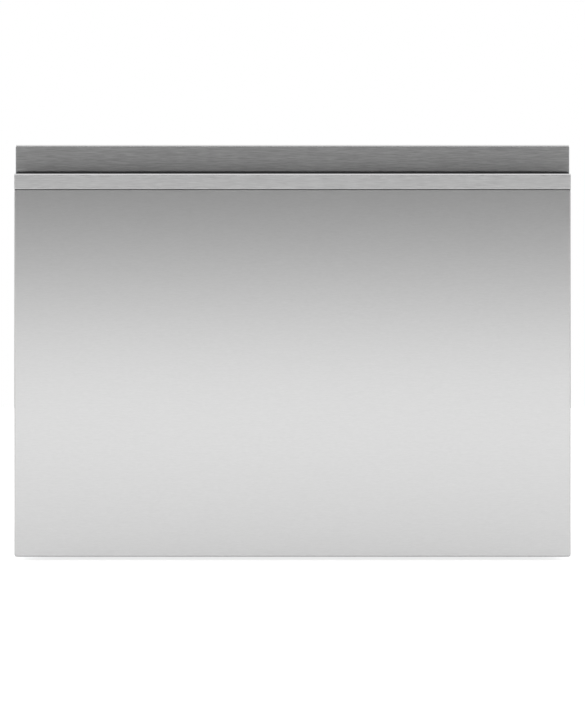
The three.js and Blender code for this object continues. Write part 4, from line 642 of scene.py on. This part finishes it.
# %% Cup shelves
SHELF_REACH, SHELF_RIBS, RIB_IN = 104, 6, 3
LEG_LEAN, LEG_DROP = 20, 34
shelf_low, shelf_high = box_mm("cup_shelf_right")
for side, word in ((-1, "left"), (1, "right")):
    hinge = side * UPRIGHT_PLANE
    reach = [hinge - side * SHELF_REACH * share for share in (0, 0.45, 1)]
    ribs = np.linspace(shelf_low[1] + RIB_IN, shelf_high[1] - RIB_IN, SHELF_RIBS)
    wires = [straight((x, shelf_low[1], CUP_LEVEL), (x, shelf_high[1], CUP_LEVEL)) for x in reach]
    wires += [straight((hinge + side, y, CUP_LEVEL + STACK), (reach[2] - side, y, CUP_LEVEL + STACK))
              for y in ribs]
    wires += [weld((x, y, CUP_LEVEL + STACK / 2)) for x in reach for y in ribs]
    touch = hinge - side * (WIRE * 2 + MOVING_GAP)
    for y, rib, outward in ((cup_posts[0], ribs[0], -1), (cup_posts[1], ribs[-1], 1)):
        wires.append(straight((touch - side * LEG_LEAN, rib, CUP_LEVEL + STACK),
                              (touch, y - outward, CUP_LEVEL - LEG_DROP)))
    one_mesh(f"cup_shelf_{word}_wires", wires, nylon_coat, f"cup_shelf_{word}", [f"cup_shelf_{word}"])
    print(word, "cup shelf:", len(wires), "wires and welds")

# %% [markdown]
# Behind the tub hang the drain hose, the fill hose and the wiring, each in a high loop, so that they follow
# the drawer out. The drain hose is corrugated, so that it bends without a kink: its radius rises and falls
# along the path every 5 mm. The routes are lists of points, given as for the CAD hoses, and a smooth
# curve runs through them. One end stays on the chassis and the other rides with the tub, so each hose is cut
# in two at the top of its loop: one piece rides with the tub, and the other rides on no body.

# %% Curves through points
def smooth_path(points, step, span_points=24):
    """Catmull-Rom curve through the points, read off every step mm along its length."""
    points = np.asarray(points, float)
    padded = np.vstack([2 * points[0] - points[1], points, 2 * points[-1] - points[-2]])
    t = np.linspace(0, 1, span_points, endpoint=False)[:, None]
    spans = []
    for a, b, c, d in zip(padded, padded[1:], padded[2:], padded[3:]):
        spans.append(0.5 * (2 * b + (c - a) * t + (2 * a - 5 * b + 4 * c - d) * t ** 2
                            + (3 * b - a - 3 * c + d) * t ** 3))
    curve = np.vstack([*spans, points[-1:]])
    far = np.concatenate([[0], np.cumsum(np.linalg.norm(np.diff(curve, axis=0), axis=1))])
    at = np.linspace(0, far[-1], max(2, int(round(far[-1] / step)) + 1))
    return np.stack([np.interp(at, far, curve[:, k]) for k in range(3)], -1), at


def loop(rise, fall, y, top):
    """The high loop behind the tub: up at rise, over, and down at fall."""
    middle, half = (rise + fall) / 2, (fall - rise) / 2
    drop = abs(half)
    return [(rise, y, top - 2.2 * drop), (rise + 0.1 * half, y, top - drop),
            (middle - 0.66 * half, y, top - 0.28 * drop), (middle, y, top),
            (middle + 0.66 * half, y, top - 0.28 * drop), (fall - 0.1 * half, y, top - drop),
            (fall, y, top - 2.2 * drop)]


print("a loop 80 mm wide goes up and down in", round(smooth_path(loop(0, 80, 0, 0), 1.0)[1][-1]), "mm")

# %% Routes
REAR_SPACE = 249.9
HOSE_TOP = 350.0
FIT = 0.3
drain_x, drain_spout = middle_mm("drain_outlet")[0], 80.0
valve_x, valve_y, valve_spout = middle_mm("water_inlet_valve")[0], 238.5, 74.0
drain_route = [(0, 104.6, 42), (0, 124.6, 42), (0, 149.6, 42), (6, REAR_SPACE - 22, 56),
               (18, REAR_SPACE - 2, 104), *loop(drain_x / 6, drain_x - 2, REAR_SPACE, HOSE_TOP),
               (drain_x, REAR_SPACE, (drain_spout + HOSE_TOP) / 3), (drain_x, REAR_SPACE, drain_spout + 30),
               (drain_x, REAR_SPACE, drain_spout + FIT)]
fill_route = [(valve_x, valve_y, valve_spout + FIT), (valve_x, valve_y, valve_spout + 20),
              (valve_x - 3, REAR_SPACE - 6, valve_spout + 70),
              *loop(valve_x, valve_x + 92, REAR_SPACE, HOSE_TOP - 33),
              (valve_x + 94, REAR_SPACE - 3, valve_spout + 40),
              (valve_x + 98, REAR_SPACE - 16, valve_spout - 12), (-90, REAR_SPACE - 54, 46),
              (-88, 116.3, 46), (-88, 76.3, 46)]
loom_y = REAR_SPACE - 16
loom_route = [(-40, 244.2, 46), (-40, 238.2, 46), (-40, 232.2, 46), (-46, loom_y - 2, 86),
              *loop(-48, -8, loom_y, HOSE_TOP - 130), (-10, loom_y - 6, 84), (-22, loom_y - 28, 42),
              (-84, loom_y - 72, 24), (-174, 100.3, 26), (-180, 12.3, 30), (-180, -85.4, 36),
              (-180, -115.4, 36)]
for name, route in (("drain hose", drain_route), ("fill hose", fill_route), ("wiring", loom_route)):
    print(name, round(smooth_path(route, 1.0)[1][-1]), "mm long")

# %% Hoses
CUFF, CUFF_SHARE = 22, 0.3  # a cuff's length, and how far it lies below the tops of the ribs
HOSE_SIDES = 20


def hose_mesh(route, radius, step, ribs, part):
    """A tube along the route, or along the part "to_top" or "from_top" of it. Ribs is (period, depth) in mm:
    r = radius - depth (1 - cos(2 pi s / period)) / 2, and r = radius - CUFF_SHARE depth in the cuffs."""
    path, far = smooth_path(route, step)
    radii = np.full(len(path), radius)
    if ribs:
        period, depth = ribs
        free = (far > CUFF) & (far < far[-1] - CUFF)
        ribbed = depth * (1 - np.cos(2 * np.pi * far / period)) / 2
        radii = radii - np.where(free, ribbed, depth * CUFF_SHARE)
    top = int(np.argmax(path[:, 2]))
    keep = {"whole": slice(None), "to_top": slice(None, top + 1), "from_top": slice(top, None)}[part]
    return tube(path[keep], radii[keep], HOSE_SIDES)


def hose_piece(name, body, node, material, *form, part="whole"):
    """One piece of a hose that rides on a body, or on none when body is None."""
    return one_mesh(name, [hose_mesh(*form, part)], material, body, [node], smooth_deg=80)


# route, radius, step along it, ribs
drain_form = drain_route, 10.0, 1.25, (5.0, 1.5)
fill_form = fill_route, 6.0, 4.0, None
loom_form = loom_route, 4.5, 1.5, (6.0, 0.5)
hose_piece("drain_hose_on_tub", "drawer", "drain_hose", hose_pvc, *drain_form, part="to_top")
hose_piece("fill_hose_on_tub", "drawer", "fill_hose", hose_pvc, *fill_form, part="from_top")
drain_leg = hose_piece("drain_hose_leg", None, "drain_hose", hose_pvc, *drain_form, part="from_top")
fill_leg = hose_piece("fill_hose_leg", None, "fill_hose", hose_pvc, *fill_form, part="to_top")
loom_look = hose_piece("wiring_loom_look", None, "wiring_loom", wire_sleeve, *loom_form)
print("faces in the bent pieces:", [len(p.data.polygons) for p in (drain_leg, fill_leg, loom_look)])

# %% Bake in place the hose pieces that ride on no body
# each leg stands on the chassis and its top goes with the tub, and the wiring runs forwards along the base
# tray; these pieces ride on no body, so their place is baked into the mesh, and the two points are only
# printed
for piece, on_chassis, on_drawer in ((drain_leg, (drain_x, 250, 95), (drain_x, 250, 315)),
                                     (fill_leg, (valve_x, 240, 90), (valve_x, 240, 295)),
                                     (loom_look, (-20, 228, 30), (-20, 110, 30))):
    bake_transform(piece)
    print(piece.name, "bends from", on_chassis, "to", on_drawer)

# %% [markdown]
# Screws hold the sheets together. A pan-head screw is a turned shape: a profile (radius, height) spun round
# its axis, with a cross recess that shows as a darker dimple. They are small, so each has few faces. Those on
# the sides are countersunk and all but flush, because a built-in cabinet slides past its neighbours.

# %% Pan-head screws
def pan_head(at, facing, radius=3.6, height=1.5, recess=0.9, sides=12):
    """Spun profile: P = at + r (cos a u + sin a v) + h n, where n is the way the head faces."""
    profile = np.array([[radius, -0.3], [radius, 0.35 * height], [0.86 * radius, 0.8 * height],
                        [0.55 * radius, height], [0.42 * radius, height], [0.2 * radius, height - recess]])
    n = np.array(facing, float)
    u = np.cross(n, (0, 0, 1) if abs(n[2]) < 0.5 else (1, 0, 0))
    v = np.cross(n, u)
    angle = np.arange(sides) * 2 * np.pi / sides
    around = np.cos(angle)[:, None] * u + np.sin(angle)[:, None] * v
    verts = (np.array(at, float) + profile[:, 0, None, None] * around[None]
             + profile[:, 1, None, None] * n).reshape(-1, 3)
    return verts, ring_faces(len(profile), sides)


print("a screw has", len(pan_head((0, 0, 0), (0, 0, 1))[1]), "faces")

# %% Screws in the chassis
REAR_FACE = 275.5  # the sheet's own outer face; its CAD box also holds the edges that are folded back
REAR_EDGE, REAR_COLUMN = 286, (26, 160, 300, 432)
REAR_LEVELS, REAR_ROW = (22, 433), (-180, -60, 60, 180)
TOP_EDGE, TOP_ROW = 290, (-228, -70, 100, 270)
RUNNER_ROW = (-222, -90, 60, 222)
FLANGE, FLANGE_COLUMN = 279, (60, 220, 380)
low_head = {"height": 0.9, "recess": 0.5}
flush_head = {"height": 0.1, "recess": 0.05}
side_face = box_mm("side_panel_right")[1][0]
top_face = box_mm("top_panel")[1][2]
runner_level = middle_mm("outer_runner_right")[2]
screws = [pan_head((x, REAR_FACE, z), (0, 1, 0)) for x in (-REAR_EDGE, REAR_EDGE) for z in REAR_COLUMN]
screws += [pan_head((x, REAR_FACE, z), (0, 1, 0)) for z in REAR_LEVELS for x in REAR_ROW]
screws += [pan_head((x, y, top_face), (0, 0, 1), **low_head) for x in (-TOP_EDGE, TOP_EDGE) for y in TOP_ROW]
screws += [pan_head((side * side_face, y, runner_level), (side, 0, 0), radius=3.2, **flush_head)
           for side in (-1, 1) for y in RUNNER_ROW]
screws += [pan_head((side * side_face, FLANGE, z), (side, 0, 0), **flush_head)
           for side in (-1, 1) for z in FLANGE_COLUMN]
one_mesh("chassis_screws", screws, zinc_plate, "chassis", smooth_deg=40)
print(len(screws), "screws")

# %% [markdown]
# A strip of black rubber stands in the seam between the panel and the lip. It keeps water out, and no light
# comes through the seam, not even at the panel's rounded corners.

# %% Seam strip
STRIP_BACK, STRIP_DEPTH = 2.5, 2.0
SUNK_IN_PANEL, SUNK_IN_LIP, STRIP_SHORT, STRIP_ROUND = 0.9, 0.5, 0.2, 0.3
skin_top = box_mm("front_skin")[1][2]
strip = rounded_block((0, lip_low[1] + STRIP_BACK + STRIP_DEPTH / 2),
                      (lip_high[0] - STRIP_SHORT, STRIP_DEPTH / 2), STRIP_ROUND,
                      [(skin_top - SUNK_IN_PANEL, 1.0), (lip_low[2] + SUNK_IN_LIP, 1.0)])
one_mesh("seam_strip", [strip], seal_epdm, "drawer")
print("seam", round(lip_low[2] - skin_top, 2), "mm high")

# %% [markdown]
# The studio is a white table in a white room, as for a shop's picture. The room is white to the camera and to
# reflections, and a little weaker as a light, so that plastics keep their own colours. Steel shows what
# stands in front of it: a low strip light makes the bright band below the middle, and a dark grey card high
# up, which the camera can't see, makes the slow fade to a darker top.

# %% White floor
FLOOR_HALF, FLOOR_DROP = 9000, 0.5
FLOOR_SEEN, FLOOR_MIRRORED = 0.74, 0.26  # the floor's own light, to the camera and in reflections


def flat_mesh(name, corners_mm):
    """One four-sided face through its corners."""
    mesh = bpy.data.meshes.new(name)
    mesh.from_pydata((np.array(corners_mm) * MM).tolist(), [], [(0, 1, 2, 3)])
    made = bpy.data.objects.new(name, mesh)
    bpy.context.scene.collection.objects.link(made)
    return made


def seen_directly(tree, camera=1.0, mirrored=1.0):
    """camera for camera rays, mirrored for glossy and transmission rays, 0 for rays that only carry light."""
    ray = add_node(tree, "LightPath")
    either = add_node(tree, "Math", operation="MAXIMUM",
                      links={0: ray.outputs["Is Glossy Ray"], 1: ray.outputs["Is Transmission Ray"]})
    weaker = add_node(tree, "Math", operation="MULTIPLY", links={0: either.outputs[0]}, values={1: mirrored})
    return add_node(tree, "Math", operation="MULTIPLY_ADD", values={1: camera},
                    links={0: ray.outputs["Is Camera Ray"], 2: weaker.outputs[0]}).outputs[0]


floor = flat_mesh("studio_floor", [(sx * FLOOR_HALF, sy * FLOOR_HALF, -FLOOR_DROP)
                                   for sx, sy in ((-1, -1), (1, -1), (1, 1), (-1, 1))])
paper = bpy.data.materials.new("white_paper_floor")
paper.use_nodes = True
tree = paper.node_tree
matt = tree.nodes["Principled BSDF"]
matt.inputs["Base Color"].default_value = linear("f2f2f2")
matt.inputs["Roughness"].default_value = 0.9
matt.inputs["Emission Color"].default_value = (1, 1, 1, 1)
tree.links.new(seen_directly(tree, FLOOR_SEEN, FLOOR_MIRRORED), matt.inputs["Emission Strength"])
floor.data.materials.append(paper)
print("floor", 2 * FLOOR_HALF, "mm square")

# %% Dark card
LIGHTS_Y = -1500
CARD_HALF, CARD_BOTTOM, CARD_TOP = 1500, 375, 1000
card = flat_mesh("grey_card", [(-CARD_HALF, LIGHTS_Y, CARD_BOTTOM), (CARD_HALF, LIGHTS_Y, CARD_BOTTOM),
                               (CARD_HALF, LIGHTS_Y, CARD_TOP), (-CARD_HALF, LIGHTS_Y, CARD_TOP)])
card_grey = bpy.data.materials.new("matt_dark_card")
card_grey.use_nodes = True
matt = card_grey.node_tree.nodes["Principled BSDF"]
matt.inputs["Base Color"].default_value = linear("242424")
matt.inputs["Roughness"].default_value = 1.0
card.data.materials.append(card_grey)
card.visible_camera = False
card.visible_shadow = False
card.visible_diffuse = False
print("card from", CARD_BOTTOM, "to", CARD_TOP, "mm above the floor")

# %% White room
ROOM_LIGHT = 0.85
room = bpy.data.worlds.new("white_room")
bpy.context.scene.world = room
room.use_nodes = True
tree = room.node_tree
backdrop = tree.nodes["Background"]
strength = spread(tree, seen_directly(tree), ROOM_LIGHT, 1.0, 0, 1)
tree.links.new(strength, backdrop.inputs["Strength"])
backdrop.inputs["Color"].default_value = (1, 1, 1, 1)
print("strength of the room's light:", ROOM_LIGHT)


# %% Lamps
def soft_lamp(name, at_mm, aim_mm, size_mm, watts, mirrored=True):
    """A rectangular soft light that faces a point; the camera never sees it, steel does if it is mirrored."""
    lamp = bpy.data.lights.new(name, "AREA")
    lamp.shape = "RECTANGLE"
    lamp.size, lamp.size_y = (s * MM for s in size_mm)
    lamp.energy = watts
    stand = bpy.data.objects.new(name, lamp)
    bpy.context.scene.collection.objects.link(stand)
    stand.location = np.array(at_mm) * MM
    away = (np.array(at_mm) - np.array(aim_mm)) * MM
    stand.rotation_euler = Vector(away.tolist()).to_track_quat("Z", "Y").to_euler()
    stand.visible_camera = False
    stand.visible_glossy = mirrored


soft_lamp("low_front_strip", at_mm=(0, LIGHTS_Y, 164), aim_mm=(0, 0, 172), size_mm=(3000, 110), watts=2.2)
soft_lamp("ceiling_softbox", at_mm=(-300, -900, 2400), aim_mm=(0, 0, 100), size_mm=(2200, 1800), watts=16,
          mirrored=False)
print(len(bpy.data.lights), "lamps")

# %% [markdown]
# The picture was taken square on, from 3.45 m, at the height of the drawer's middle, so that nothing of the
# top or the sides shows.

# %% Camera
CAMERA_BACK = 3450.0
VIEW_HEIGHT = 750.2  # how much the picture shows, from top to bottom, at the drawer's front
VIEW_MIDDLE = 224.1  # its middle above the floor
SENSOR = 36.0
front_face = box_mm("front_skin")[0][1]

view = bpy.data.cameras.new("picture_camera")
view.sensor_fit = "AUTO"
view.sensor_width = SENSOR
view.lens = SENSOR * CAMERA_BACK / VIEW_HEIGHT
view.clip_end = 100
camera = bpy.data.objects.new("picture_camera", view)
bpy.context.scene.collection.objects.link(camera)
camera.location = (0, (front_face - CAMERA_BACK) * MM, VIEW_MIDDLE * MM)
camera.rotation_euler = (np.pi / 2, 0, 0)
bpy.context.scene.camera = camera
bpy.context.scene.view_settings.view_transform = "Standard"
print("lens", round(view.lens, 1), "mm")
